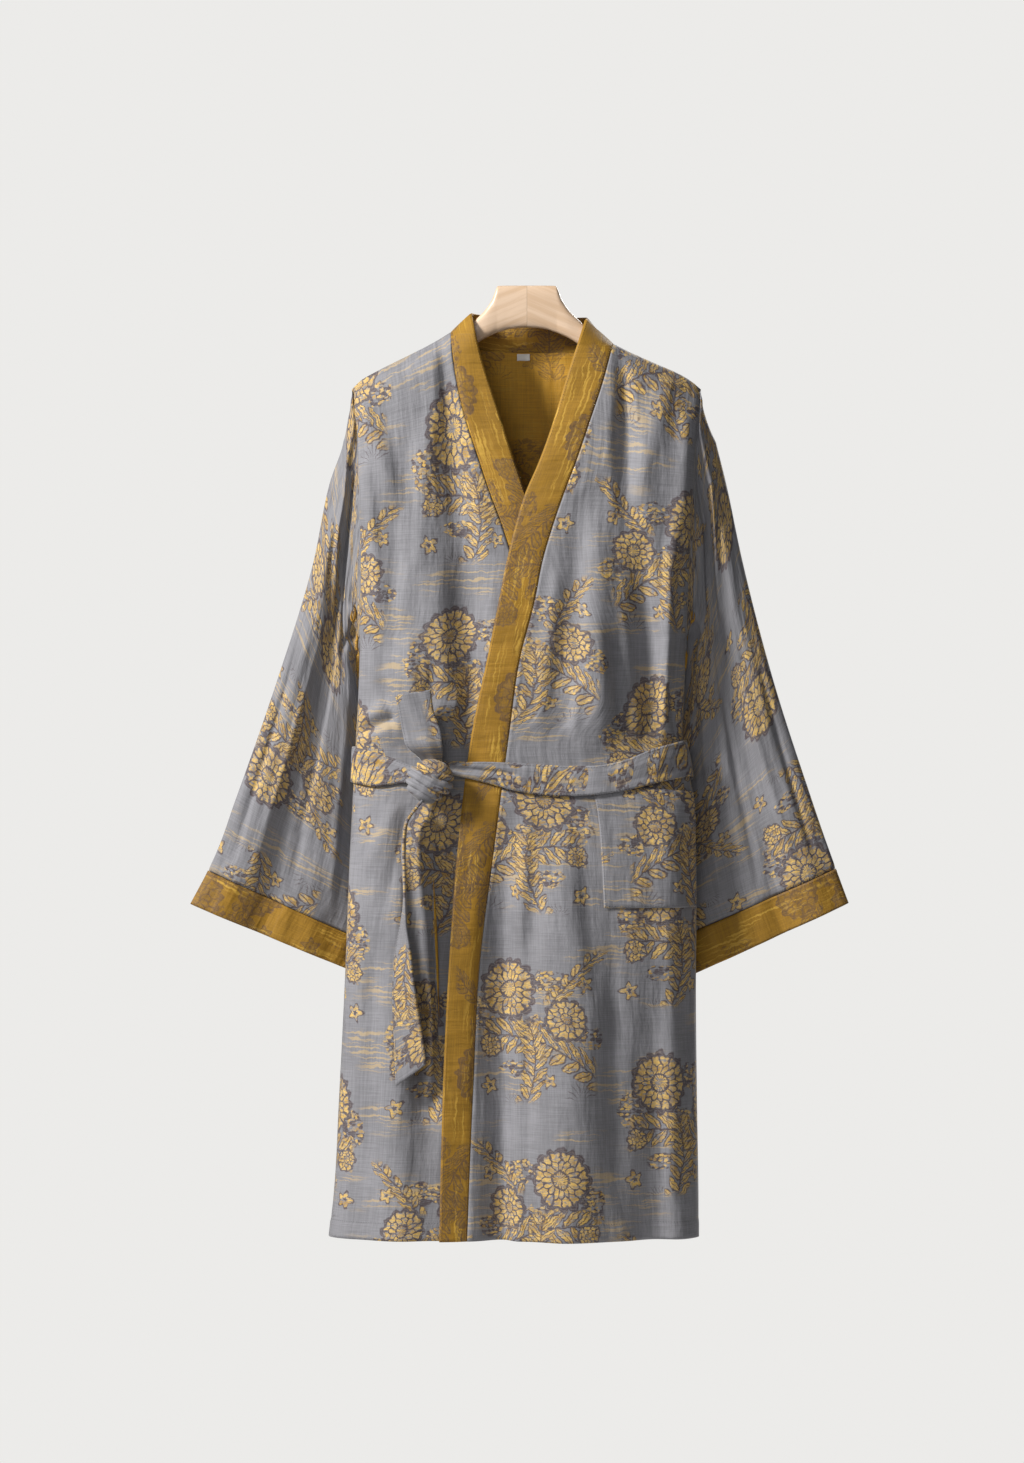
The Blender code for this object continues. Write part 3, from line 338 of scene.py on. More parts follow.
LEFT_SLEEVE = table(
    "along outer_x outer_z inner_x inner_z outer_y inner_y half",
    (0.000, 0.2016, -0.1210, 0.1844, -0.4060, 0.000, 0.000, 0.020),
    (0.060, 0.2100, -0.1450, 0.1850, -0.4290, 0.000, 0.010, 0.022),
    (0.120, 0.2185, -0.1806, 0.1812, -0.4520, 0.001, 0.020, 0.023),
    (0.200, 0.2300, -0.2266, 0.1790, -0.4830, 0.002, 0.030, 0.023),
    (0.350, 0.2505, -0.3230, 0.1755, -0.5410, 0.003, 0.037, 0.022),
    (0.550, 0.2860, -0.4590, 0.1740, -0.6180, 0.004, 0.040, 0.020),
    (0.750, 0.3290, -0.5920, 0.1705, -0.6960, 0.005, 0.040, 0.019),
    (0.935, 0.3577, -0.6739, 0.1690, -0.7600, 0.006, 0.040, 0.018),
    (1.000, 0.3726, -0.7142, 0.1668, -0.8108, 0.006, 0.040, 0.018),
)
# How much flatter a sleeve is at its inner fold, and how soon it leaves the armhole's shape
SLEEVE_PINCH = 0.45
SLEEVE_ROUNDNESS = 0.8
ARMHOLE_REACH, FOLDS_REACH = 0.12, 0.25
# Soft folds that run down a sleeve: place across it, width, and rise, on its front and its back
SLEEVE_FOLDS = table(
    "side across width rise",
    (-1, 0.16, 0.10, 0.003),
    (-1, 0.36, 0.13, -0.006),
    (-1, 0.62, 0.12, 0.003),
    (1, 0.25, 0.13, 0.004),
    (1, 0.50, 0.13, -0.005),
    (1, 0.74, 0.12, 0.004),
)

# The neckband from the right shoulder, round the back of the neck, to the left shoulder
NECKBAND = table(
    "seam_x seam_y seam_z edge_x edge_y edge_z",
    (-0.0886, -0.0010, -0.0541, -0.0645, -0.0050, -0.0320),
    (-0.0815, 0.0170, -0.0600, -0.0640, 0.0170, -0.0300),
    (-0.0600, 0.0290, -0.0690, -0.0530, 0.0300, -0.0310),
    (-0.0300, 0.0325, -0.0740, -0.0280, 0.0350, -0.0325),
    (0.0000, 0.0330, -0.0755, 0.0000, 0.0360, -0.0330),
    (0.0350, 0.0325, -0.0748, 0.0330, 0.0350, -0.0335),
    (0.0680, 0.0290, -0.0725, 0.0590, 0.0300, -0.0340),
    (0.0920, 0.0170, -0.0690, 0.0700, 0.0170, -0.0350),
    (0.1000, -0.0010, -0.0672, 0.0680, -0.0050, -0.0390),
)

# The belt's upper and lower edge along the front, right and left of the knot
BELT_FRONT = table(
    "x top bottom",
    (-0.2045, -0.5330, -0.5740),
    (-0.1750, -0.5400, -0.5790),
    (-0.1500, -0.5480, -0.5760),
    (-0.1350, -0.5540, -0.5745),
    (-0.0870, -0.5495, -0.5660),
    (-0.0700, -0.5505, -0.5690),
    (-0.0480, -0.5505, -0.5745),
    (-0.0080, -0.5520, -0.5850),
    (0.0480, -0.5550, -0.5900),
    (0.0900, -0.5535, -0.5865),
    (0.1170, -0.5470, -0.5820),
    (0.1450, -0.5365, -0.5750),
    (0.1905, -0.5250, -0.5665),
)
BELT_BACK_TOP, BELT_BACK_BOTTOM = -0.5330, -0.5720
BELT_CLEAR = 0.0043
BELT_OVER_POCKET = 0.0030

KNOT_CENTRE = (-0.1110, -0.0657, -0.5727)
KNOT_HALF = (0.0260, 0.0175, 0.0235)
KNOT_PASS = 0.0040

# The short end of the belt above the knot, and the long end that hangs and twists below it
UPPER_END = table(
    "z left right y lean",
    (-0.5535, -0.1180, -0.0990, -0.0525, 0.000),
    (-0.5470, -0.1230, -0.0970, -0.0557, 0.000),
    (-0.5333, -0.1371, -0.0967, -0.0650, 0.002),
    (-0.5157, -0.1423, -0.0989, -0.0640, 0.004),
    (-0.4951, -0.1461, -0.1063, -0.0620, 0.003),
    (-0.4710, -0.1510, -0.1100, -0.0600, 0.001),
)
LOWER_END = table(
    "z x y half turn",
    (-0.5935, -0.1215, -0.0657, 0.0085, 86.0),
    (-0.6168, -0.1386, -0.0680, 0.0155, 86.0),
    (-0.6390, -0.1424, -0.0690, 0.0165, 87.0),
    (-0.6636, -0.1430, -0.0690, 0.0170, 87.0),
    (-0.7188, -0.1416, -0.0700, 0.0175, 85.0),
    (-0.7372, -0.1424, -0.0700, 0.0175, 80.0),
    (-0.7740, -0.1432, -0.0700, 0.0175, 58.0),
    (-0.8476, -0.1384, -0.0690, 0.0178, 34.0),
    (-0.8930, -0.1342, -0.0685, 0.0180, 22.0),
    (-0.9080, -0.1330, -0.0685, 0.0180, 20.0),
)
LOWER_END_SLANT = 0.0130

# The pocket, by its distance from the side seam and its height
POCKET_NEAR, POCKET_FAR = 0.012, 0.136
POCKET_TOP, POCKET_BOTTOM = -0.5800, -0.7180
POCKET_CORNER_DROP, POCKET_GAPE, POCKET_TURN = 0.0060, 0.0020, 0.0240
POCKET_WALL, POCKET_LIFT = 0.0015, 0.0014

LABEL_X, LABEL_WIDTH, LABEL_DROP, LABEL_WALL = -0.0040, 0.0150, 0.0080, 0.0008

# The hanger: a flat top, and arms that slope under the shoulders, by distance from the middle
HANGER = table(
    "x top bottom half",
    (0.0000, 0.0000, -0.0483, 0.0080),
    (0.0120, 0.0000, -0.0489, 0.0080),
    (0.0230, 0.0000, -0.0506, 0.0080),
    (0.0310, -0.0002, -0.0533, 0.0080),
    (0.0345, -0.0006, -0.0545, 0.0080),
    (0.0372, -0.0080, -0.0556, 0.0081),
    (0.0400, -0.0160, -0.0568, 0.0082),
    (0.0480, -0.0285, -0.0605, 0.0085),
    (0.0620, -0.0420, -0.0690, 0.0080),
    (0.0860, -0.0655, -0.0915, 0.0085),
    (0.1150, -0.0830, -0.1100, 0.0105),
    (0.1500, -0.1010, -0.1270, 0.0125),
    (0.1670, -0.1109, -0.1369, 0.0128),
    (0.1770, -0.1180, -0.1425, 0.0125),
    (0.1830, -0.1230, -0.1440, 0.0115),
    (0.1870, -0.1300, -0.1410, 0.0080),
)
HANGER_EDGE = 0.62

# Finer creases than the solids have. Each runs between two points and fades at both ends.
CREASES = {
    "front_right": table(
        "x0 z0 x1 z1 width rise",
        (-0.1960, -0.5220, -0.1520, -0.4960, 0.0060, -0.0045),
        (-0.1930, -0.5070, -0.1600, -0.4850, 0.0075, 0.0028),
        (-0.1500, -0.5340, -0.1680, -0.4550, 0.0070, -0.0025),
        (-0.1280, -0.5400, -0.1360, -0.4000, 0.0080, 0.0020),
        (-0.1180, -0.5400, -0.1050, -0.4300, 0.0060, -0.0020),
        (-0.1000, -0.5400, -0.0800, -0.4700, 0.0060, 0.0020),
        (-0.1350, -0.6000, -0.1650, -0.7200, 0.0080, -0.0022),
        (-0.1500, -0.5950, -0.1850, -0.6800, 0.0080, 0.0018),
        (-0.1920, -0.1350, -0.1480, -0.2600, 0.0120, 0.0030),
        (-0.1850, -0.2000, -0.1700, -0.3800, 0.0080, 0.0022),
        (-0.1500, -0.2300, -0.1560, -0.4300, 0.0090, -0.0020),
        (-0.1150, -0.1500, -0.1240, -0.3300, 0.0100, 0.0020),
        (-0.2000, -0.6400, -0.1900, -0.9000, 0.0100, 0.0020),
        (-0.1760, -0.7600, -0.1800, -1.0600, 0.0100, -0.0018),
        (-0.0860, -0.8000, -0.0800, -1.0800, 0.0080, 0.0020),
        (-0.1080, -0.5850, -0.1200, -0.9700, 0.0160, -0.0048),
    ),
    "front_left": table(
        "x0 z0 x1 z1 width rise",
        (0.1620, -0.1100, 0.1220, -0.2600, 0.0140, 0.0030),
        (0.1860, -0.1500, 0.1720, -0.3300, 0.0100, 0.0025),
        (0.0620, -0.2400, 0.0500, -0.4600, 0.0120, -0.0025),
        (0.0340, -0.3300, 0.0120, -0.5300, 0.0100, 0.0022),
        (0.1000, -0.4000, 0.1120, -0.5400, 0.0080, -0.0028),
        (0.0600, -0.4600, 0.0520, -0.5450, 0.0060, 0.0024),
        (0.1220, -0.4700, 0.1280, -0.5350, 0.0060, 0.0024),
        (0.1650, -0.4600, 0.1720, -0.5220, 0.0060, -0.0024),
        (0.0040, -0.6000, -0.0080, -0.7600, 0.0080, 0.0022),
        (0.0600, -0.6000, 0.0740, -0.8200, 0.0100, -0.0020),
        (0.0220, -0.7200, 0.0130, -1.0850, 0.0120, 0.0026),
        (0.0960, -0.7600, 0.1050, -1.0850, 0.0140, -0.0026),
        (0.1620, -0.7400, 0.1660, -1.0850, 0.0100, 0.0022),
        (0.1850, -0.7800, 0.1800, -1.0600, 0.0080, -0.0018),
        (0.0560, -0.6200, 0.0620, -1.1100, 0.0440, 0.0048),
        (0.1120, -0.6600, 0.1180, -1.1100, 0.0420, 0.0014),
    ),
    "back": table(
        "x0 z0 x1 z1 width rise",
        (0.1700, -0.1200, 0.0900, -0.2500, 0.0140, 0.0032),
        (-0.1700, -0.1200, -0.0950, -0.2600, 0.0140, 0.0030),
        (0.1500, -0.2000, 0.1300, -0.4200, 0.0120, -0.0026),
        (-0.1500, -0.2100, -0.1260, -0.4300, 0.0120, -0.0024),
        (0.0500, -0.3000, 0.0600, -0.5200, 0.0100, 0.0024),
        (-0.0400, -0.2800, -0.0520, -0.5200, 0.0100, 0.0022),
        (0.0200, -0.4400, 0.0260, -0.5300, 0.0070, -0.0024),
        (-0.0900, -0.4500, -0.1000, -0.5320, 0.0070, -0.0024),
        (0.1050, -0.4600, 0.1120, -0.5320, 0.0070, 0.0022),
        (-0.0200, -0.5800, -0.0350, -0.8000, 0.0100, 0.0022),
        (0.0350, -0.5800, 0.0420, -0.8400, 0.0100, -0.0020),
        (0.0950, -0.5800, 0.1000, -0.7600, 0.0080, 0.0022),
        (-0.0850, -0.5800, -0.0940, -0.7800, 0.0080, -0.0022),
        (0.0000, -0.7200, 0.0040, -1.0850, 0.0130, 0.0024),
        (-0.1400, -0.7800, -0.1600, -1.0850, 0.0120, 0.0024),
        (0.1450, -0.7800, 0.1600, -1.0850, 0.0120, 0.0022),
        (-0.0940, -0.7600, -0.1000, -1.0850, 0.0100, -0.0024),
    ),
}
# The same on the sleeves, by place across the front (negative) or back of the sleeve and place along it
SLEEVE_CREASES = table(
    "across0 along0 across1 along1 width rise",
    (-0.10, 0.02, -0.34, 0.34, 0.030, 0.0032),
    (-0.26, 0.02, -0.52, 0.30, 0.026, -0.0026),
    (-0.90, 0.04, -0.58, 0.20, 0.024, 0.0030),
    (-0.84, 0.10, -0.48, 0.34, 0.024, -0.0026),
    (-0.66, 0.30, -0.70, 0.92, 0.034, 0.0024),
    (-0.44, 0.36, -0.46, 0.92, 0.036, -0.0024),
    (-0.24, 0.40, -0.22, 0.93, 0.030, 0.0022),
    (-0.08, 0.50, -0.10, 0.90, 0.020, -0.0014),
    (-0.84, 0.46, -0.88, 0.90, 0.022, 0.0016),
    (0.12, 0.03, 0.38, 0.34, 0.030, 0.0032),
    (0.30, 0.02, 0.54, 0.30, 0.026, -0.0026),
    (0.90, 0.05, 0.56, 0.26, 0.026, 0.0028),
    (0.34, 0.36, 0.30, 0.93, 0.034, 0.0024),
    (0.54, 0.34, 0.56, 0.92, 0.036, -0.0024),
    (0.76, 0.40, 0.78, 0.93, 0.030, 0.0022),
)
# Slow waves all over the cloth: radians for each metre across and down, phase, and rise
WAVES = table(
    "across down phase rise",
    (58.0, 21.0, 0.4, 0.00050),
    (-41.0, 37.0, 1.9, 0.00045),
    (96.0, -33.0, 3.1, 0.00032),
    (133.0, 52.0, 0.9, 0.00022),
    (-171.0, 64.0, 2.2, 0.00016),
)
SEAM_REACH, SEAM_DIP = 0.0045, 0.0009
HEM_TURN, HEM_STEP, HEM_EDGE = 0.0200, 0.0006, 0.0015
BELT_GRIP = 0.0300

# Creases of the belt along its front, by x and z
BELT_CREASES = table(
    "x0 z0 x1 z1 width rise",
    (-0.0880, -0.5570, -0.0100, -0.5650, 0.0028, -0.0040),
    (-0.0850, -0.5620, -0.0350, -0.5700, 0.0032, 0.0026),
    (-0.0300, -0.5560, 0.0600, -0.5660, 0.0045, 0.0010),
    (0.0000, -0.5760, 0.0900, -0.5800, 0.0035, -0.0012),
    (0.0900, -0.5640, 0.1800, -0.5400, 0.0050, 0.0012),
    (0.1100, -0.5740, 0.1850, -0.5560, 0.0035, -0.0012),
    (-0.1950, -0.5500, -0.1400, -0.5640, 0.0040, -0.0012),
    (-0.1900, -0.5620, -0.1400, -0.5700, 0.0035, 0.0010),
)
# The knot's pleats: place along its slant, half width and depth
KNOT_PLEATS = table(
    "at wide deep",
    (0.66, 0.060, 0.100),
    (0.38, 0.075, 0.220),
    (0.04, 0.050, 0.110),
    (-0.30, 0.080, 0.240),
    (-0.64, 0.060, 0.120),
)
# How full the knot's turns stand round its solid
KNOT_FULL = 1.09
# How far the neckband laps the back's edge at the neck
NECK_LAP = 0.0015
# How far the lap's free edge stands off low on the robe, and where that starts
BAND_LIFT, BAND_LIFT_Z = 0.0090, -0.6200
# Length of the label that is sewn under the neckband, and how far below the seam it starts
LABEL_TURN, LABEL_GAP = 0.0025, 0.0010
LABEL_COLUMNS, LABEL_ROWS = 16, 12
# Share of its wall that a sheet keeps on a seam, the reach over which it thickens, and in how many steps
SEAM_WALL, SEAM_WALL_REACH, WALL_LEVELS = 0.2, 0.005, 10
# Over what reach creases die out beside a seam or the belt, at the lap's edge and at the top
CALM, LAP_REACH, TOP_CALM, UNDERARM_FADE = 0.020, 0.030, 0.0150, 0.01
# Where the lap starts, how much the cloth under it creases, and the deepest valley over it and elsewhere
LAP_TOP_Z, LAPPED_SHARE, LAP_VALLEY, FREE_VALLEY = -0.30, 0.15, 0.0020, 0.02
# The height where the band leaves the fronts, and its rows from there to the shoulder: from, to, how many
BAND_TURN_Z = -0.0760
RIGHT_TURN_ROWS, LEFT_TURN_ROWS = (-0.0750, -0.0560, 9), (-0.0695, BAND_TURN_Z, 4)
# How the band and the belt are crowned, and how far their long edges sink
BAND_CROWN, BAND_WAVES, BAND_SINK, BAND_EDGE_SINK, BAND_LIFT_REACH = 0.0006, 0.8, 0.0007, 0.0005, 0.20
BELT_CROWN, BELT_SINK, BELT_FRONT_REACH = 0.0009, 0.0006, 0.02
# Where each piece lies on the woven cloth
UV_SHIFT = {
    "front_right": (0.31, 2.05),
    "front_left": (1.17, 0.62),
    "back": (2.90, 1.30),
    "sleeve_right": (4.12, 3.37),
    "sleeve_left": (5.48, 2.71),
    "cuff_right": (6.20, 0.44),
    "cuff_left": (7.33, 1.08),
    "neckband": (8.05, 0.00),
    "pocket": (3.61, 4.02),
    "belt_waist": (0.77, 5.13),
    "belt_end_up": (2.22, 5.61),
    "belt_end_down": (3.05, 5.90),
}
# How much deeper the cloth's broad folds are than the solids'
for folds, gain in ((SHARED_FOLDS, 1.5), (LEFT_FRONT_FOLDS, 1.4), (BACK_FOLDS, 1.3)):
    for rows in folds.values():
        rows["rise"] *= gain
# How deep the creases of the tables are made, and the folds of a sleeve for each wall
CREASE_DEPTH, FOLD_ROUND = 1.9, 1.35
# How far a front's top edge tucks under the back's, how much of a sleeve's first ring is drawn in, how far
# it reaches under the body, and how full the sleeve is just past the armhole
SHOULDER_TUCK = (0.0, 0.0030, -0.0020)
SLEEVE_TUCK, SLEEVE_TUCK_REACH, SLEEVE_PUFF = 0.03, 0.0030, 0.0014
# Where a sleeve is fullest and over what reach, how far the seam of its cuff draws it in, and its wall by
# the armhole with the reach over which it thickens, all as shares of the sleeve's length
PUFF_AT, PUFF_REACH, CUFF_DIP_REACH = 0.030, 0.016, 0.008
SLEEVE_THIN, SLEEVE_THIN_REACH = 0.15, 0.09
# Grids of the cloth: spacing of the body's rows, columns of the panels, rings and columns of the sleeves
ROW_STEP = 0.0040
SHOULDER_ROWS, SHOULDER_CROWDING = 34, 1.8
FINE = 300
FRONT_COLUMNS = 62
BACK_COLUMNS = (34, 44, 34)
SLEEVE_COLUMNS, SLEEVE_RINGS, CUFF_RINGS = 190, 140, 14
SLEEVE_SHAPE = 2.6
BAND_COLUMNS, BAND_NECK_ROWS = 13, 120
BELT_COLUMNS, BELT_ROWS = 420, 14
POCKET_COLUMNS, POCKET_ROWS = 44, 46
UPPER_COLUMNS, UPPER_ROWS, LOWER_COLUMNS, LOWER_ROWS = 19, 44, 15, 96
HANGER_STATIONS, HANGER_SIDES = 121, 48
# Weights that soften the corners of the hanger's outline, and the size and push of the rings on its tips
SOFTENING = (1, 2, 3, 4, 5, 4, 3, 2, 1)
HANGER_TIP = ((0.90, 0.0008), (0.55, 0.0014), (0.0, 0.0016))
# Stitches: how far they lie in from an edge, and the half sizes, rise and share of the pitch of each one
POCKET_INSET, BAND_INSET, BELT_INSET = 0.002, 0.0025, 0.0020
STITCH_WIDTH, STITCH_HEIGHT, STITCH_RISE, STITCH_SHARE = 0.00034, 0.00026, 0.00008, 0.36
# The lines of the pocket and the cuffs: across the rows or not, by inset, and from the first edge or not
POCKET_LINES = ((False, True), (False, False), (True, True))
CUFF_LINES = ((0.0022, True), (0.0022, False))
# The camera: its distance, the depth of the robe's face, the height that the frame takes in there, and
# the middle of the frame
CAMERA_DISTANCE, FACE_DEPTH, FRAME_HEIGHT, FRAME_MIDDLE = 4.8, 0.03, 1.682, (-0.0173, -0.5158)
SENSOR_MM, FARTHEST = 36.0, 50
# Each light's place, size and colour
LIGHT_AIM = (0.0, 0.0, -0.50)
LIGHTS = {
    "key": ((-3.1, -1.9, 1.7), 0.9, (1.0, 0.985, 0.960)),
    "fill": ((-1.2, -4.6, 0.6), 2.4, (1.0, 1.0, 1.0)),
    "rear": ((1.6, 3.2, 1.6), 2.2, (1.0, 0.99, 0.97)),
}


def through(xs, ys, x):
    """The value at x of a smooth curve through the points. It stays level past both ends."""
    x = np.clip(x, xs[0], xs[-1])
    slope = np.gradient(ys, xs)
    i = np.clip(np.searchsorted(xs, x, side="right") - 1, 0, len(xs) - 2)
    width = xs[i + 1] - xs[i]
    t = (x - xs[i]) / width
    start = (1 + 2 * t) * (1 - t) ** 2 * ys[i] + t * (1 - t) ** 2 * width * slope[i]
    end = t * t * (3 - 2 * t) * ys[i + 1] + t * t * (t - 1) * width * slope[i + 1]
    return start + end


def read(rows, key, column, at):
    return through(rows[key], rows[column], at)


def side_of(x):
    """The outline's two columns, chosen by the sign of x."""
    return np.asarray(x) < 0


def half_width(x, z):
    return np.where(side_of(x), read(OUTLINE, "z", "right", z), read(OUTLINE, "z", "left", z))


def shoulder_z(x):
    out = np.abs(x)
    return np.where(side_of(x), read(SHOULDER, "x", "right", out), read(SHOULDER, "x", "left", out))


def roll(below):
    """How far the cloth has rolled over the shoulder seam, from 0 on the seam to 1."""
    t = np.clip(below / SHOULDER_ROLL, 0, 1)
    return np.sqrt(1 - (1 - t) ** 2)


def armhole_half(z):
    """Half the width of the open armhole at a height. It closes at the shoulder tip and the underarm."""
    t = np.clip((SHOULDER_TIP_Z - z) / (SHOULDER_TIP_Z - UNDERARM_Z), 0, 1)
    return ARMHOLE_HALF * (4 * t * (1 - t)) ** 0.4 * roll(SHOULDER_TIP_Z - z)


def fold(folds, x, z):
    """The rise of a set of folds at a point."""
    rise = np.zeros(np.broadcast(x, z).shape)
    for rows in folds.values():
        off = x - read(rows, "z", "x", z)
        width = np.where(off < 0, read(rows, "z", "low", z), read(rows, "z", "high", z))
        bump = 0.5 + 0.5 * np.cos(np.pi * np.clip(off / width, -1, 1))
        within = (z >= rows["z"][0] - 1e-6) & (z <= rows["z"][-1] + 1e-6)
        rise = rise + np.where(within, read(rows, "z", "rise", z), 0) * bump
    return rise


def edge_fade(x, z):
    """1 on the body and 0 at its side, so that folds die out before the side seam."""
    return np.clip((1 - np.abs(x) / half_width(x, z)) / 0.06, 0, 1)


def front_y(x, z, lift, folds):
    """The outer face of a front. lift is how far it stands over the cloth it laps."""
    ratio = np.clip(np.abs(x) / half_width(x, z), 0, 1)
    full = (1 - ratio**SIDE_FULLNESS) ** SIDE_ROLL
    edge = np.maximum(armhole_half(z) - WALL, 0)
    depth = edge + (read(DEPTH, "z", "front", z) + lift - edge) * full
    rise = (fold(SHARED_FOLDS, x, z) + fold(folds, x, z)) * edge_fade(x, z)
    return -(depth + rise) * roll(shoulder_z(x) - z)


def right_front_y(x, z):
    return front_y(x, z, 0.0, RIGHT_FRONT_FOLDS)


def left_front_y(x, z):
    lift = LAP_LIFT * np.clip((-0.10 - z) / 0.10, 0, 1)
    return front_y(x, z, lift, LEFT_FRONT_FOLDS)


def back_xy(turn, z):
    """A point of the back at an angle, from 0 at the left side seam to pi at the right one."""
    c, s = np.cos(turn), np.sin(turn)
    inside = np.clip((1 - np.abs(c)) / TUCK_REACH, 0, 1)
    tuck = read(DEPTH, "z", "tuck", z) * inside * inside * (3 - 2 * inside)
    x = np.sign(c) * (half_width(c, z) - tuck) * np.abs(c) ** BACK_SQUARENESS
    edge = np.maximum(armhole_half(z) - WALL, 0)
    depth = edge + (read(DEPTH, "z", "back", z) - edge) * np.maximum(s, 0) ** BACK_ROUNDNESS
    fade = np.clip((0.93 - np.abs(c)) / 0.15, 0, 1)
    return x, (depth + fold(BACK_FOLDS, x, z) * fade) * roll(shoulder_z(x) - z)


def at_level(level, top):
    """The height of a row where the panel ends at top: rows below BLEND_Z stay level."""
    share = (top - BLEND_Z) / (NOMINAL_TOP_Z - BLEND_Z)
    return np.where(level < BLEND_Z, level, BLEND_Z + (level - BLEND_Z) * share)


def run_of(points):
    """How far along its line each point lies. A grid gives this for each of its rows."""
    steps = np.linalg.norm(np.diff(points, axis=-2), axis=-1)
    return np.cumsum(np.concatenate([np.zeros_like(steps[..., :1]), steps], axis=-1), axis=-1)


def points_at(wanted, length, points):
    """The points of a line at the wanted lengths."""
    return np.stack([np.interp(wanted, length, points[:, i]) for i in range(3)], axis=-1)


def even(points, count):
    """count + 1 points spaced evenly along a polyline."""
    length = run_of(points)
    return points_at(np.linspace(0, length[-1], count + 1), length, points)


def front_row(side, level):
    """One row of a front, from its side edge to the neckband's seam."""
    right = side == "right"
    sign, band = (-1, RIGHT_BAND) if right else (1, LEFT_BAND)
    t = 1 - np.cos(np.linspace(0, np.pi / 2, FINE + 1))
    tip_x = sign * OUTLINE[side][-1]
    x = tip_x + (NECK_X[side] - tip_x) * t
    for _ in range(SEAM_PASSES):
        z = at_level(level, shoulder_z(x))
        start = sign * read(OUTLINE, "z", side, z)
        x = start + (read(band, "z", "seam", z) - start) * t
    z = at_level(level, shoulder_z(x))
    y = right_front_y(x, z) if right else left_front_y(x, z)
    return np.stack([x, y, z], axis=1)


def neckline_z(x):
    """The back's top edge: the shoulder seam, and the neck's own line between the shoulders."""
    edge = np.where(side_of(x), NECK_X["right"], NECK_X["left"])
    inside = np.clip(x / edge, 0, 1)
    neck = BACK_NECK_Z + (shoulder_z(edge) - BACK_NECK_Z) * inside**3
    return np.where(np.abs(x) < np.abs(edge), neck, shoulder_z(x))


def back_row(level):
    """One row of the back, from the left side edge to the right one, even within each third."""
    turn = np.linspace(0, np.pi, 3 * FINE + 1)
    guess, _ = back_xy(turn, np.full_like(turn, max(level, SHOULDER_TIP_Z)))
    z = at_level(level, neckline_z(guess))
    x, y = back_xy(turn, z)
    points = np.stack([x, y, z], axis=1)
    cuts = [np.argmin(np.abs(x - NECK_X[name])) for name in ("left", "right")]
    thirds = (points[: cuts[0] + 1], points[cuts[0] : cuts[1] + 1], points[cuts[1] :])
    rows = [even(third, count) for third, count in zip(thirds, BACK_COLUMNS)]
    return np.concatenate([rows[0], rows[1][1:], rows[2][1:]])


def normals_of(grid, closed):
    """Unit normals of a grid of points, right-handed from its columns to its rows."""
    if closed:
        across = np.roll(grid, -1, axis=1) - np.roll(grid, 1, axis=1)
    else:
        across = np.gradient(grid, axis=1)
    normal = np.cross(across, np.gradient(grid, axis=0))
    return normal / np.linalg.norm(normal, axis=2, keepdims=True)


def sleeve_grid(side, first, last, rings):
    """Rings of a sleeve. Each starts on the outer fold and runs over the front to the inner fold."""
    rows, sign = (RIGHT_SLEEVE, -1) if side == "right" else (LEFT_SLEEVE, 1)
    turn = np.linspace(0, 2 * np.pi, SLEEVE_COLUMNS, endpoint=False)
    across = (1 - np.cos(turn)) / 2
    face = np.where(np.sin(turn) >= 0, -1, 1)
    grid = []
    for s in np.linspace(first, last, rings + 1):
        now = {name: through(rows["along"], rows[name], s) for name in rows}
        z = now["outer_z"] + (now["inner_z"] - now["outer_z"]) * across
        x = now["outer_x"] + (now["inner_x"] - now["outer_x"]) * across
        middle = now["outer_y"] + (now["inner_y"] - now["outer_y"]) * across
        half = now["half"] * np.abs(np.sin(turn)) ** SLEEVE_ROUNDNESS * (1 - SLEEVE_PINCH * across**2)
        start = np.clip(1 - s / ARMHOLE_REACH, 0, 1)
        x = x + (read(OUTLINE, "z", side, z) - x) * start
        half = half + (armhole_half(z) - half) * start
        rise = np.zeros_like(across)
        for fold_side, place, width, height in zip(*SLEEVE_FOLDS.values()):
            bump = 0.5 + 0.5 * np.cos(np.pi * np.clip((across - place) / width, -1, 1))
            rise += np.where(face == fold_side, height, 0) * bump
        half = half + rise * np.clip(s / FOLDS_REACH, 0, 1)
        grid.append(np.stack([sign * x, middle + face * half, z], axis=1))
    return np.array(grid)


def band_front_rows(side, heights):
    """The neckband's rows down one front, each from the seam to the free edge."""
    rows, y_of = (RIGHT_BAND, right_front_y) if side == "right" else (LEFT_BAND, left_front_y)
    made = []
    for z in heights:
        x = np.linspace(read(rows, "z", "seam", z), read(rows, "z", "edge", z), BAND_COLUMNS)
        made.append(np.stack([x, y_of(x, z), np.full(BAND_COLUMNS, z)], axis=1))
    return made


def band_neck_rows():
    """The neckband's rows round the back of the neck, between the two shoulders."""
    n = NECKBAND
    at = np.arange(len(n["seam_x"]))
    made = []
    for t in np.linspace(0, at[-1], BAND_NECK_ROWS):
        rails = ([through(at, n[f"{rail}_{axis}"], t) for axis in "xyz"] for rail in ("seam", "edge"))
        seam, edge = (np.array(rail) for rail in rails)
        width = np.linalg.norm(edge - seam)
        seam = seam - (edge - seam) * NECK_LAP / width
        share = np.linspace(0, 1, BAND_COLUMNS)[:, None]
        made.append(seam + (edge - seam) * share)
    return made


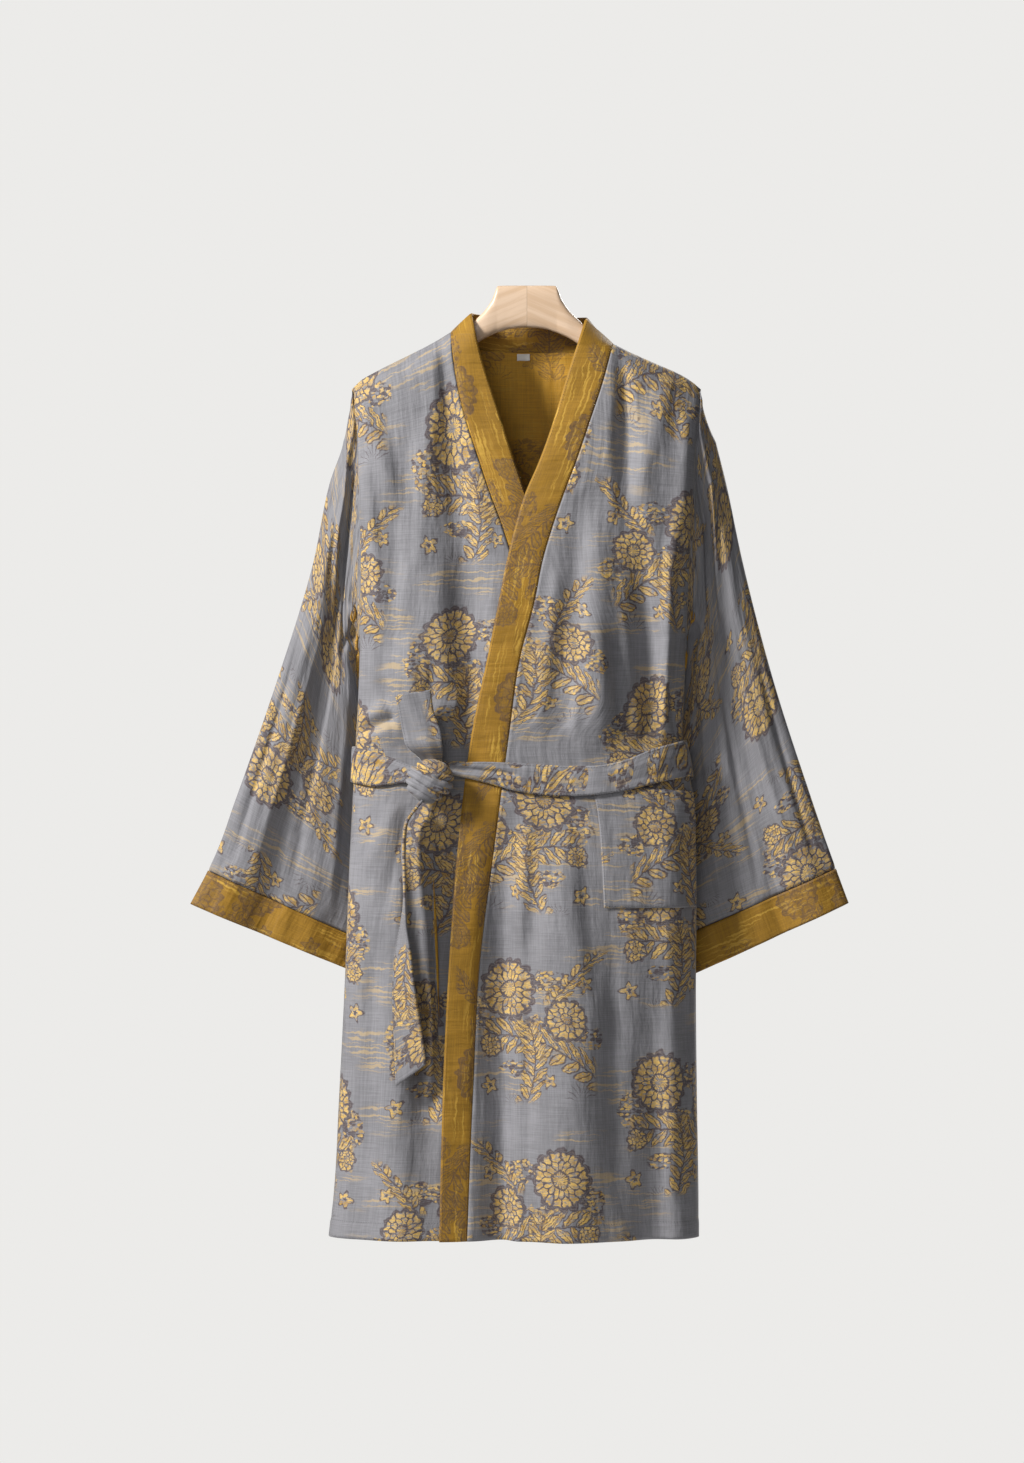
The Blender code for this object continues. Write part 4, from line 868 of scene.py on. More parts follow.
def belt_section(turn, z):
    """The body's section at a height, moved out by the belt's clearance: the back, then the front."""
    points = []
    for step in (-0.002, 0.002, 0.0):
        at = np.mod(turn + step, 2 * np.pi)
        c = np.cos(at)
        front_x = half_width(c, z) * np.sign(c) * np.abs(c) ** 0.5
        on_lap = np.clip((front_x + 0.150) / 0.045, 0, 1)
        ratio = np.clip(np.abs(front_x) / half_width(c, z), 0, 1)
        depth = read(DEPTH, "z", "front", z) + LAP_LIFT * on_lap
        depth = depth + BELT_OVER_POCKET * np.clip((front_x - 0.050) / 0.030, 0, 1)
        back_x, back_y = back_xy(np.clip(at, 0, np.pi), z)
        behind = at <= np.pi
        x = np.where(behind, back_x, front_x)
        points.append((x, np.where(behind, back_y, -depth * (1 - ratio**SIDE_FULLNESS) ** SIDE_ROLL)))
    (x0, y0), (x1, y1), (x, y) = points
    length = np.hypot(x1 - x0, y1 - y0)
    return x + (y1 - y0) / length * BELT_CLEAR, y - (x1 - x0) / length * BELT_CLEAR


def belt_heights(x, y):
    """The belt's upper and lower edge at a point of its route."""
    on_front = np.clip(0.5 - y / 0.02, 0, 1)
    top = BELT_BACK_TOP + (read(BELT_FRONT, "x", "top", x) - BELT_BACK_TOP) * on_front
    bottom = BELT_BACK_BOTTOM + (read(BELT_FRONT, "x", "bottom", x) - BELT_BACK_BOTTOM) * on_front
    return top, bottom


def back_inside_y(x, z):
    """The back's inner face behind a point."""
    turn = np.linspace(0, np.pi, FINE + 1)
    xs, ys = back_xy(turn, np.full_like(turn, z))
    return np.interp(x, xs[::-1], ys[::-1]) - WALL


def crease(rows, x, z):
    """The rise of a set of creases at points of a panel."""
    rise = np.zeros(np.broadcast(x, z).shape)
    for x0, z0, x1, z1, width, height in zip(*rows.values()):
        dx, dz = x1 - x0, z1 - z0
        t = np.clip(((x - x0) * dx + (z - z0) * dz) / (dx * dx + dz * dz), 0, 1)
        off = np.hypot(x - x0 - t * dx, z - z0 - t * dz)
        rise = rise + height * np.sqrt(4 * t * (1 - t)) * np.exp(-((off / width) ** 2))
    return rise


def waves(u, v):
    return sum(rise * np.sin(a * u + d * v + phase) for a, d, phase, rise in zip(*WAVES.values()))


def cloth_lengths(grid, column):
    """Each point's distance along its row from a column, and along that column from the first row."""
    u = run_of(grid)
    u = u - u[:, column : column + 1]
    return u, run_of(grid[:, column])[:, None] * np.ones_like(u)


def near_edge(lengths, reach):
    """1 on the first and last of a row of lengths, falling to 0 within reach of them."""
    low = lengths - lengths.min(axis=-1, keepdims=True)
    high = lengths.max(axis=-1, keepdims=True) - lengths
    return np.clip(1 - np.minimum(low, high) / reach, 0, 1) ** 2


def near_seam(lengths, reach):
    """A soft groove that is deepest at reach from the first and last of a row of lengths, and 0 on them."""
    low = lengths - lengths.min(axis=-1, keepdims=True)
    high = lengths.max(axis=-1, keepdims=True) - lengths
    off = np.minimum(low, high) / reach
    return np.where(off < 1, off, np.exp(-((off - 1) ** 2)))


def mesh_of(name, bm):
    """A mesh from a finished bmesh."""
    mesh = bpy.data.meshes.new(name)
    bm.to_mesh(mesh)
    bm.free()
    return mesh


def grid_mesh(name, grid, uv):
    """A grid moved to its place, with its UV map in metres, and each vertex's row and column."""
    rows, columns = grid.shape[:2]
    bm = bmesh.new()
    bm.loops.layers.uv.new("cloth")
    bmesh.ops.create_grid(bm, x_segments=columns - 1, y_segments=rows - 1, size=1, calc_uvs=True)
    mesh = mesh_of(name, bm)
    flat = np.empty(len(mesh.vertices) * 3, np.float32)
    mesh.vertices.foreach_get("co", flat)
    flat = flat.reshape(-1, 3)
    share = (flat - flat.min(axis=0)) / np.maximum(np.ptp(flat, axis=0), 1e-9)
    column = np.rint(share[:, 0] * (columns - 1)).astype(int)
    row = np.rint(share[:, 1] * (rows - 1)).astype(int)
    mesh.vertices.foreach_set("co", grid[row, column].astype(np.float32).ravel())
    corner = np.empty(len(mesh.loops), np.int32)
    mesh.loops.foreach_get("vertex_index", corner)
    spread = uv[row[corner], column[corner]].astype(np.float32)
    mesh.uv_layers["cloth"].uv.foreach_set("vector", spread.ravel())
    return mesh, row, column


def close_seams(mesh):
    """Joins the first and last column of a tube, and the points of a pole."""
    bm = bmesh.new()
    bm.from_mesh(mesh)
    bmesh.ops.remove_doubles(bm, verts=bm.verts, dist=1e-6)
    bm.to_mesh(mesh)
    bm.free()


def woven(name, grid, uv, wall, finishes, closed=False, share=None):
    """A piece of cloth: a grid on its outer face, and a wall behind it that share thins point by point."""
    mesh, row, column = grid_mesh(name, grid, uv)
    made = placed(name, mesh, finishes)
    shell = made.modifiers.new("wall", "SOLIDIFY")
    shell.thickness = wall
    shell.offset = -1
    shell.material_offset = 1
    if share is not None:
        group = made.vertex_groups.new(name="wall")
        level = np.rint(np.broadcast_to(share, grid.shape[:2])[row, column] * WALL_LEVELS).astype(int)
        for step in range(1, WALL_LEVELS + 1):
            group.add(np.flatnonzero(level == step).tolist(), step / WALL_LEVELS, "REPLACE")
        shell.vertex_group = "wall"
    if closed:
        close_seams(mesh)
    return made


def state_sheet(cloth, node, slot, grid, *rests_on):
    """Hides the solid that a sheet stands for. The sheet itself, its finish, its cut and what it hangs on
    are not used.
    """
    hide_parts(node)


def seam_share(distance):
    """The share of its wall that a piece keeps at a distance from a seam that turns its edge in."""
    return SEAM_WALL + (1 - SEAM_WALL) * np.clip(distance / SEAM_WALL_REACH, 0, 1)


def linked(name, data):
    """An object in the scene, in place of an older one of its name."""
    old = bpy.data.objects.get(name)
    if old:
        bpy.data.objects.remove(old)
    made = bpy.data.objects.new(name, data)
    bpy.context.scene.collection.objects.link(made)
    return made


def placed(name, mesh, finishes):
    """Links a mesh as a piece of the robe with its finishes, smooth, riding on the robe's one body."""
    for finish in finishes:
        mesh.materials.append(finish)
    mesh.shade_smooth()
    made = linked(name, mesh)
    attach(made, "root")
    return made


def uv_of(grid, column, shift):
    u, v = cloth_lengths(grid, column)
    return np.stack([u + shift[0], v + shift[1]], axis=2)


def body_levels(step):
    """Row heights from the hem to the shoulder, closer together where the cloth rolls over the seam."""
    straight = np.arange(HEM_Z, SHOULDER_TIP_Z, step)
    crowded = (1 - np.linspace(0, 1, SHOULDER_ROWS)) ** SHOULDER_CROWDING
    top = NOMINAL_TOP_Z + (SHOULDER_TIP_Z - NOMINAL_TOP_Z) * crowded
    return np.concatenate([straight, top])


def clear_of(x, z, panel):
    """1 where a panel is free to crease, and 0 under the belt and the band; under the lap it keeps a small
    share.
    """
    free = np.clip((np.abs(z - WAIST_Z) - BELT_GRIP) / CALM, 0, 1)
    if panel == "front_left":
        band = (x - read(LEFT_BAND, "z", "seam", z)) / CALM
        free = free * np.clip(band, 0, 1)
    if panel == "front_right":
        band = (read(RIGHT_BAND, "z", "seam", z) - x) / CALM
        lap = (read(LEFT_BAND, "z", "edge", z) + CALM - x) / LAP_REACH
        free = free * np.clip(band, 0, 1) * np.where(z < LAP_TOP_Z, np.clip(lap, LAPPED_SHARE, 1), 1)
    return free


def relief(panel, grid, column):
    """How far each point of a panel rises over its solid: creases, waves, seams and the turned hem."""
    x, z = grid[..., 0], grid[..., 2]
    u, v = cloth_lengths(grid, column)
    free = clear_of(x, z, panel)
    side = 1 - near_edge(u, CALM)
    rise = (CREASE_DEPTH * crease(CREASES[panel], x, z) + waves(u, v)) * free * side
    if panel == "front_left":
        over = np.clip((read(RIGHT_BAND, "z", "edge", z) + LAP_REACH - x) / CALM, 0, 1) * (z < LAP_TOP_Z)
        rise = np.maximum(rise, -LAP_VALLEY * over - FREE_VALLEY * (1 - over))
    below = np.clip((UNDERARM_Z - z) / UNDERARM_FADE, 0, 1)
    rise = rise - SEAM_DIP * near_seam(u, SEAM_REACH) * below
    top = (z > LAP_TOP_Z) * near_edge(v.T, TOP_CALM).T
    rise = rise * (1 - top) - SEAM_DIP * near_seam(v.T, SEAM_REACH).T * (z > LAP_TOP_Z)
    hem = np.clip((HEM_Z + HEM_TURN - z) / HEM_EDGE, 0, 1)
    return rise + HEM_STEP * hem


def front_grid(side, columns, step):
    """The outer face of a front, with its rows from the side seam to the band."""
    rows = [even(front_row(side, level), columns) for level in body_levels(step)]
    grid = np.array(rows)
    outward = normals_of(grid, False) * (1 if side == "right" else -1)
    grid = grid + outward * relief(f"front_{side}", grid, 0)[..., None]
    return np.concatenate([grid, [grid[-1] + np.array(SHOULDER_TUCK)]])


class Web:
    """Adds nodes to a tree. Every method gives back an output socket."""

    def __init__(self, tree):
        self.tree = tree

    def node(self, kind, **settings):
        made = self.tree.nodes.new(kind)
        for name, value in settings.items():
            setattr(made, name, value)
        return made

    def put(self, socket, value):
        if isinstance(value, bpy.types.NodeSocket):
            self.tree.links.new(value, socket)
        elif value is not None:
            socket.default_value = value

    def fix(self, node, **values):
        """Sets sockets to plain values. An underscore stands for a space in a socket's name."""
        for name, value in values.items():
            node.inputs[name.replace("_", " ")].default_value = value

    def math(self, operation, a, b=None, c=None, clamp=False):
        made = self.node("ShaderNodeMath", operation=operation, use_clamp=clamp)
        for socket, value in zip(made.inputs, (a, b, c)):
            self.put(socket, value)
        return made.outputs[0]

    plus = partialmethod(math, "ADD")
    minus = partialmethod(math, "SUBTRACT")
    times = partialmethod(math, "MULTIPLY")
    over = partialmethod(math, "DIVIDE")
    most = partialmethod(math, "MAXIMUM")
    power = partialmethod(math, "POWER")
    scaled = partialmethod(math, "MULTIPLY_ADD")
    size = partialmethod(math, "ABSOLUTE")
    part = partialmethod(math, "FRACT")

    def vector(self, operation, a, b=None):
        made = self.node("ShaderNodeVectorMath", operation=operation)
        self.put(made.inputs[0], a)
        self.put(made.inputs[1], b)
        return made.outputs[0]

    def split(self, vector):
        made = self.node("ShaderNodeSeparateXYZ")
        self.put(made.inputs[0], vector)
        return made.outputs[0], made.outputs[1], made.outputs[2]

    def join(self, x, y, z=0.0):
        made = self.node("ShaderNodeCombineXYZ")
        for socket, value in zip(made.inputs, (x, y, z)):
            self.put(socket, value)
        return made.outputs[0]

    def step(self, value, low, high, to_low=0.0, to_high=1.0):
        """A smooth step of value from low to high."""
        made = self.node("ShaderNodeMapRange", interpolation_type="SMOOTHSTEP")
        for name, given in (("Value", value), ("From Min", low), ("From Max", high)):
            self.put(made.inputs[name], given)
        self.fix(made, To_Min=to_low, To_Max=to_high)
        return made.outputs[0]

    def noise(self, vector, scale, detail=2.0, roughness=0.5, out="Fac"):
        made = self.node("ShaderNodeTexNoise", noise_dimensions="3D")
        self.put(made.inputs["Vector"], vector)
        self.fix(made, Scale=scale, Detail=detail, Roughness=roughness)
        return made.outputs[out]

    def streaks(self, vector, x, y, detail, roughness=0.5):
        """Noise with x and y grains to a metre across and down."""
        return self.noise(self.stretch(vector, x, y), 1.0, detail, roughness)

    def bump(self, shader, height, strength, distance):
        made = self.node("ShaderNodeBump")
        self.fix(made, Strength=strength, Distance=distance)
        self.put(made.inputs["Height"], height)
        self.put(shader.inputs["Normal"], made.outputs[0])

    def stretch(self, vector, x, y, z=1.0):
        return self.vector("MULTIPLY", vector, (x, y, z))

    def mix(self, factor, a, b):
        made = self.node("ShaderNodeMix", data_type="RGBA")
        self.put(made.inputs[0], factor)
        for socket, value in ((made.inputs[6], a), (made.inputs[7], b)):
            self.put(socket, (*value, 1.0) if isinstance(value, tuple) and len(value) == 3 else value)
        return made.outputs[2]


# A repeat of the woven figure: chrysanthemum heads, sprays of leaves, leaf clusters, blossoms and tufts
REPEAT_WIDTH, REPEAT_HEIGHT = 0.186, 0.216
HEADS = table(
    "x y radius petals",
    (0.030, 0.044, 0.034, 16),
    (-0.042, 0.010, 0.024, 12),
    (0.060, -0.020, 0.013, 9),
)
SPRAYS = table(
    "upright middle slope bend first last pitch reach",
    (0, -0.014, 0.28, -4.0, -0.078, 0.074, 0.0150, 0.021),
    (1, 0.006, 0.34, 5.0, -0.088, 0.012, 0.0135, 0.017),
    (1, -0.006, -0.62, -3.0, 0.024, 0.092, 0.0120, 0.014),
)
CLUSTERS = table(
    "x y half_width half_height",
    (-0.022, 0.052, 0.030, 0.015),
    (0.066, 0.014, 0.017, 0.024),
    (-0.070, -0.012, 0.016, 0.014),
    (0.006, 0.004, 0.026, 0.013),
    (0.026, -0.046, 0.024, 0.010),
)
BLOSSOMS = table(
    "x y radius",
    (-0.066, 0.050, 0.0090),
    (0.064, -0.066, 0.0100),
    (-0.018, -0.060, 0.0085),
)
TUFTS = table(
    "x y radius",
    (-0.056, -0.082, 0.024),
    (0.034, -0.088, 0.016),
)


def polar(web, x, y, cx, cy):
    """Distance and angle of a place round a centre."""
    dx, dy = web.minus(x, cx), web.minus(y, cy)
    far = web.math("SQRT", web.plus(web.power(dx, 2.0), web.power(dy, 2.0)))
    return far, web.math("ARCTAN2", dy, dx), dy


def flower_head(web, x, y, cx, cy, radius, petals):
    """A chrysanthemum head of three rings of petals: its petals, its lines and all of it."""
    far, angle, _ = polar(web, x, y, cx, cy)
    lobe = web.size(web.math("COSINE", web.times(angle, petals / 2)))
    edge = web.scaled(lobe, 0.14 * radius, 0.88 * radius)
    q = web.over(far, edge)
    ring = web.times(q, 3.0)
    shift = web.times(web.math("FLOOR", ring), 0.5)
    turns = web.scaled(angle, petals / (2 * math.pi), shift)
    beside = web.size(web.minus(web.part(turns), 0.5))
    bow = web.scaled(web.power(beside, 2.0), 1.3, web.part(ring))
    line = web.most(web.step(beside, 0.34, 0.44), web.step(bow, 0.80, 0.94))
    whole = web.step(q, 1.03, 0.97)
    petal = web.times(whole, web.minus(1.0, line))
    rim = web.times(web.step(q, 0.98, 1.02), web.step(q, 1.12, 1.06))
    line = web.most(web.times(whole, line), rim)
    return petal, line, web.step(q, 1.12, 1.04)


def leaf_spray(web, x, y, upright, middle, slope, bend, first, last, pitch, reach):
    """A curved stem with leaves in pairs that lean along it: its leaves and its lines."""
    run, side = (y, x) if upright else (x, y)
    curve = web.scaled(web.scaled(run, bend, slope), run, middle)
    off = web.minus(side, curve)
    out = web.size(off)
    other = web.times(web.math("GREATER_THAN", off, 0.0), 0.43)
    lean = web.times(out, -0.85 / pitch)
    along = web.plus(web.scaled(run, 1.0 / pitch, lean), other)
    beside = web.size(web.minus(web.part(along), 0.5))
    share = web.over(out, reach, clamp=True)
    bell = web.times(web.minus(1.0, share), share)
    wide = web.times(web.power(bell, 0.6), 0.88)
    gap = web.minus(beside, wide)
    within = web.times(web.step(run, first, first + 0.01), web.step(run, last, last - 0.01))
    leaf = web.times(web.step(gap, 0.00, -0.06), within)
    line = web.times(web.step(gap, -0.10, -0.02), web.step(gap, 0.10, 0.03))
    rib = web.times(web.step(beside, 0.06, 0.03), web.step(gap, 0.0, -0.05))
    line = web.most(web.most(line, rib), web.step(out, 0.0014, 0.0007))
    line = web.times(web.times(line, within), web.step(share, 1.0, 0.97))
    return leaf, line


def figure_group():
    """The woven figure by place on the cloth in metres: leaves, outlines and mist, each from 0 to 1."""
    tree = bpy.data.node_groups.new("woven figure", "ShaderNodeTree")
    tree.interface.new_socket("Place", in_out="INPUT", socket_type="NodeSocketVector")
    for name in ("Leaf", "Outline", "Mist"):
        tree.interface.new_socket(name, in_out="OUTPUT", socket_type="NodeSocketFloat")
    web = Web(tree)
    place = web.node("NodeGroupInput").outputs[0]
    wobble = web.vector("SUBTRACT", web.noise(place, 60.0, 4.0, 0.65, out="Color"), (0.5, 0.5, 0.5))
    bent = web.vector("ADD", place, web.stretch(wobble, 0.014, 0.010, 0.0))
    u, v, _ = web.split(bent)
    column = web.over(u, REPEAT_WIDTH)
    column_id = web.math("FLOOR", column)
    drop = web.times(web.math("PINGPONG", column_id, 1.0), 0.5)
    row = web.plus(web.over(v, REPEAT_HEIGHT), drop)
    row_id = web.math("FLOOR", row)
    chance = web.node("ShaderNodeTexWhiteNoise", noise_dimensions="2D")
    web.put(chance.inputs["Vector"], web.join(column_id, row_id))
    turned = web.minus(web.times(web.step(chance.outputs[0], 0.49, 0.51), 2.0), 1.0)
    x = web.times(web.minus(web.part(column), 0.5), REPEAT_WIDTH)
    x = web.times(x, turned)
    y = web.times(web.minus(web.part(row), 0.5), REPEAT_HEIGHT)

    crown = None
    for cx, cy, rx, ry in zip(*CLUSTERS.values()):
        dx = web.over(web.minus(x, cx), rx)
        dy = web.over(web.minus(y, cy), ry)
        inside = web.minus(1.0, web.plus(web.power(dx, 2.0), web.power(dy, 2.0)))
        crown = inside if crown is None else web.most(crown, inside)
    ragged = web.times(web.minus(web.noise(place, 75.0, 3.0), 0.5), 1.7)
    crown = web.step(web.plus(crown, ragged), 0.02, 0.28)
    leaves = web.node("ShaderNodeTexVoronoi", voronoi_dimensions="2D", feature="F1")
    web.put(leaves.inputs["Vector"], web.stretch(bent, 170.0, 290.0))
    web.fix(leaves, Scale=1.0)
    petal = web.step(leaves.outputs["Distance"], 0.60, 0.36)
    rim = web.step(leaves.outputs["Distance"], 0.36, 0.50)
    rim = web.times(rim, web.step(leaves.outputs["Distance"], 0.78, 0.60))
    tint, shade, _ = web.split(leaves.outputs["Color"])
    leaf = web.times(web.times(petal, web.step(tint, 0.38, 0.44)), crown)
    outline = web.times(web.times(rim, web.step(shade, 0.40, 0.55)), crown)
    dark = web.times(web.times(petal, web.step(tint, 0.36, 0.30)), crown)
    outline = web.most(outline, dark)

    for spray in zip(*SPRAYS.values()):
        more, line = leaf_spray(web, x, y, *spray)
        leaf = web.most(leaf, more)
        outline = web.most(web.times(outline, web.minus(1.0, more)), line)

    for cx, cy, radius in zip(*BLOSSOMS.values()):
        far, angle, _ = polar(web, x, y, cx, cy)
        lobe = web.math("COSINE", web.times(angle, 5.0))
        far = web.over(far, web.scaled(lobe, 0.24 * radius, 0.80 * radius))
        more = web.times(web.step(far, 1.05, 0.85), web.step(far, 0.30, 0.42))
        ring = web.times(web.step(far, 0.86, 1.0), web.step(far, 1.25, 1.08))
        leaf = web.most(leaf, more)
        outline = web.most(outline, web.most(ring, web.step(far, 0.34, 0.20)))

    for cx, cy, radius in zip(*TUFTS.values()):
        far, angle, dy = polar(web, x, y, cx, cy)
        blade = web.size(web.minus(web.part(web.times(angle, 2.7)), 0.5))
        thin = web.times(web.step(blade, 0.15, 0.05), web.step(far, radius, radius * 0.7))
        thin = web.times(thin, web.step(far, radius * 0.12, radius * 0.35))
        thin = web.times(thin, web.step(dy, 0.000, 0.003))
        outline = web.most(outline, web.times(thin, 0.75))

    for head in zip(*HEADS.values()):
        more, line, whole = flower_head(web, x, y, *head)
        under = web.minus(1.0, whole)
        leaf = web.most(web.times(leaf, under), more)
        outline = web.most(web.times(outline, under), line)

    worn = web.step(web.streaks(place, 110.0, 210.0, 4.0, 0.75), 0.39, 0.50)
    leaf = web.times(leaf, worn)
    streak = web.step(web.streaks(bent, 18.0, 330.0, 2.0), 0.53, 0.60)
    patch = web.step(web.streaks(place, 9.0, 24.0, 1.0), 0.50, 0.60)
    mist = web.times(streak, patch)
    out = web.node("NodeGroupOutput")
    for socket, value in zip(out.inputs, (leaf, outline, mist)):
        web.put(socket, value)
    return tree


def finish_of(name):
    """An empty material with its shader, ready for nodes."""
    old = bpy.data.materials.get(name)
    if old:
        bpy.data.materials.remove(old)
    made = bpy.data.materials.new(name)
    made.use_nodes = True
    return made, Web(made.node_tree), made.node_tree.nodes["Principled BSDF"]


def gauze(name, ground, leaf_colour, outline_colour, mist_colour, amounts, sheen):
    """Jacquard double gauze: ground and figure by the UV map, slubs, crinkle and a soft sheen."""
    made, web, shader = finish_of(name)
    place = web.node("ShaderNodeUVMap", uv_map="cloth").outputs[0]
    group = web.node("ShaderNodeGroup")
    group.node_tree = bpy.data.node_groups.get("woven figure") or figure_group()
    web.put(group.inputs[0], place)
    leaf, outline, mist = group.outputs

    slub = web.streaks(place, 26.0, 900.0, 3.0, 0.6)
    warp = web.streaks(place, 620.0, 16.0, 2.0, 0.6)
    cloud = web.noise(place, 14.0, 3.0, 0.6)
    thread = web.plus(web.times(slub, 0.6), web.times(warp, 0.4))
    dark = tuple(c * 0.80 for c in ground)
    light = tuple(min(c * 1.22, 1.0) for c in ground)
    ground_tone = web.plus(web.times(thread, 0.7), web.times(cloud, 0.3))
    colour = web.mix(web.step(ground_tone, 0.36, 0.64), dark, light)
    hatch = web.step(web.streaks(place, 90.0, 1400.0, 2.0, 0.6), 0.40, 0.56)
    leaf_cover = web.times(leaf, web.scaled(hatch, 0.60, 0.40))
    colour = web.mix(web.times(mist, amounts[2]), colour, mist_colour)
    turn = web.step(web.streaks(place, 55.0, 95.0, 4.0, 0.7), 0.34, 0.60)
    fill = web.mix(turn, tuple(c * f for c, f in zip(leaf_colour, (0.52, 0.45, 0.26))), leaf_colour)
    colour = web.mix(web.times(leaf_cover, amounts[0]), colour, fill)
    colour = web.mix(web.times(outline, web.scaled(hatch, 0.35, amounts[1])), colour, outline_colour)
    web.put(shader.inputs["Base Color"], colour)
    rough = web.step(thread, 0.30, 0.70, 0.62, 0.78)
    web.put(shader.inputs["Roughness"], rough)
    web.fix(shader, Sheen_Weight=sheen, Sheen_Roughness=0.35, Specular_IOR_Level=0.35)

    crinkle = web.streaks(place, 190.0, 60.0, 3.0, 0.55)
    drape = web.streaks(place, 60.0, 10.0, 2.0, 0.5)
    height = web.plus(web.times(thread, 0.30), web.times(crinkle, 0.60))
    height = web.plus(height, web.times(drape, 2.2))
    web.bump(shader, height, 0.70, 0.0016)
    return made


# Each face of the gauze: its colours, how strongly the figure, outlines and streaks show, and its sheen
FACES = {
    "slate jacquard gauze": ("slate gold umber mist", (0.95, 0.55, 0.60), 0.22),
    "ochre jacquard gauze": ("ochre reverse_leaf umber bright_ochre", (0.45, 0.36, 0.80), 0.12),
    # The inside face is the same ochre cloth as the reverse, with its ground painted about 1.7 times
    # lighter: painted light that lifts the shade falling inside the robe.
    "ochre gauze inside": ("inside reverse_leaf umber bright_ochre", (0.30, 0.25, 0.40), 0.10),
}
OUTSIDE, REVERSE, INSIDE_PAINTED_LIGHTER = FACES


def faces(*names):
    """The finishes of a piece of cloth: its outer face, then its inner one."""
    looks = bpy.context.scene.robe_looks
    made = []
    for name in names:
        keys, amounts, sheen = FACES[name]
        colours = [tuple(getattr(looks, key)) for key in keys.split()]
        made.append(bpy.data.materials.get(name) or gauze(name, *colours, amounts, sheen))
    return made


def thread_finish(name, colour):
    """Twisted sewing thread."""
    made = bpy.data.materials.get(name)
    if made:
        return made
    made, web, shader = finish_of(name)
    place = web.node("ShaderNodeTexCoord").outputs["Object"]
    fleck = web.noise(place, 900.0, 2.0)
    web.put(shader.inputs["Base Color"], web.mix(fleck, tuple(c * 0.75 for c in colour), colour))
    web.fix(shader, Roughness=0.55)
    return made


def tape_finish():
    """Plain white woven tape."""
    made, web, shader = finish_of("white woven tape")
    place = web.node("ShaderNodeUVMap", uv_map="cloth").outputs[0]
    rib = web.node("ShaderNodeTexWave", wave_type="BANDS", bands_direction="X")
    web.put(rib.inputs["Vector"], place)
    web.fix(rib, Scale=420.0, Distortion=0.6)
    colour = web.mix(rib.outputs[1], (0.76, 0.75, 0.72), (0.88, 0.87, 0.85))
    web.put(shader.inputs["Base Color"], colour)
    web.fix(shader, Roughness=0.55)
    web.bump(shader, rib.outputs[1], 0.4, 0.0003)
    return made


def wood_finish(colour):
    """Pale wood in two halves glued down the middle, with grain that falls away from the joint."""
    made, web, shader = finish_of("pale lacquered wood")
    place = web.node("ShaderNodeTexCoord").outputs["Object"]
    x, y, z = web.split(place)
    out = web.size(x)
    side = web.step(x, -0.0001, 0.0001)
    fall = web.scaled(out, 0.42, z)
    fall = web.plus(fall, web.times(side, 0.37))
    along = web.join(web.times(out, 9.0), web.times(y, 60.0), web.times(fall, 150.0))
    ring = web.noise(along, 1.0, 3.0, 0.55)
    fine = web.noise(web.join(web.times(out, 60.0), web.times(y, 900.0), web.times(fall, 1500.0)), 1.0, 2.0)
    pale = tuple(min(c * 1.06, 1.0) for c in colour)
    deep = tuple(c * f for c, f in zip(colour, (0.92, 0.87, 0.80)))
    tone = web.mix(web.step(ring, 0.36, 0.66), pale, deep)
    tone = web.mix(web.times(web.step(fine, 0.52, 0.70), 0.14), tone, tuple(c * 0.62 for c in colour))
    joint = web.step(out, 0.0007, 0.0002)
    tone = web.mix(web.times(joint, 0.45), tone, tuple(c * 0.50 for c in colour))
    web.put(shader.inputs["Base Color"], tone)
    web.put(shader.inputs["Roughness"], web.step(ring, 0.30, 0.70, 0.34, 0.46))
    web.fix(shader, Coat_Weight=0.18, Coat_Roughness=0.25)
    web.bump(shader, web.minus(fine, joint), 0.12, 0.0004)
    return made


def stitch_rows(name, rows, thread, pitch):
    """Rows of stitches: small rounded lengths of thread laid along each line of points on its normals."""
    bm = bmesh.new()
    bmesh.ops.create_uvsphere(bm, u_segments=6, v_segments=4, radius=1)
    one = mesh_of("one stitch", bm)
    halves = (pitch * STITCH_SHARE, STITCH_WIDTH, STITCH_HEIGHT)
    shape = np.array([tuple(vert.co) for vert in one.vertices]) * halves
    places = []
    for points, normals in rows:
        length = run_of(points)
        at = np.arange(pitch / 2, length[-1] - pitch / 2, pitch)
        here, ahead = points_at(at, length, points), points_at(at + pitch / 4, length, points)
        up = points_at(at, length, normals)
        up = up / np.linalg.norm(up, axis=1, keepdims=True)
        run = (ahead - here) / np.linalg.norm(ahead - here, axis=1, keepdims=True)
        axes = np.stack([run, np.cross(up, run), up], axis=1)
        places.append(here[:, None] + up[:, None] * STITCH_RISE + np.einsum("vk,nkc->nvc", shape, axes))
    places = np.concatenate(places)
    bm = bmesh.new()
    for _ in places:
        bm.from_mesh(one)
    mesh = mesh_of(name, bm)
    mesh.vertices.foreach_set("co", places.astype(np.float32).ravel())
    return placed(name, mesh, [thread])


def add_front(side):
    """A front: its fine grid, its woven face and its ochre reverse, whose ground is painted lighter than the
    cloth's own ochre.
    """
    grid = front_grid(side, FRONT_COLUMNS, ROW_STEP)
    uv = uv_of(grid, 0, UV_SHIFT[f"front_{side}"])
    u, v = cloth_lengths(grid, 0)
    share = np.minimum(seam_share(u), seam_share(v[-1:] - v))
    turned, uv, share = (given if side == "right" else given[:, ::-1] for given in (grid, uv, share))
    cloth = woven(f"front_{side}_cloth", turned, uv, WALL, faces(OUTSIDE, INSIDE_PAINTED_LIGHTER), share=share)
    state_sheet(cloth, f"front_{side}", "grey_gauze", grid, "hanger")
    return grid


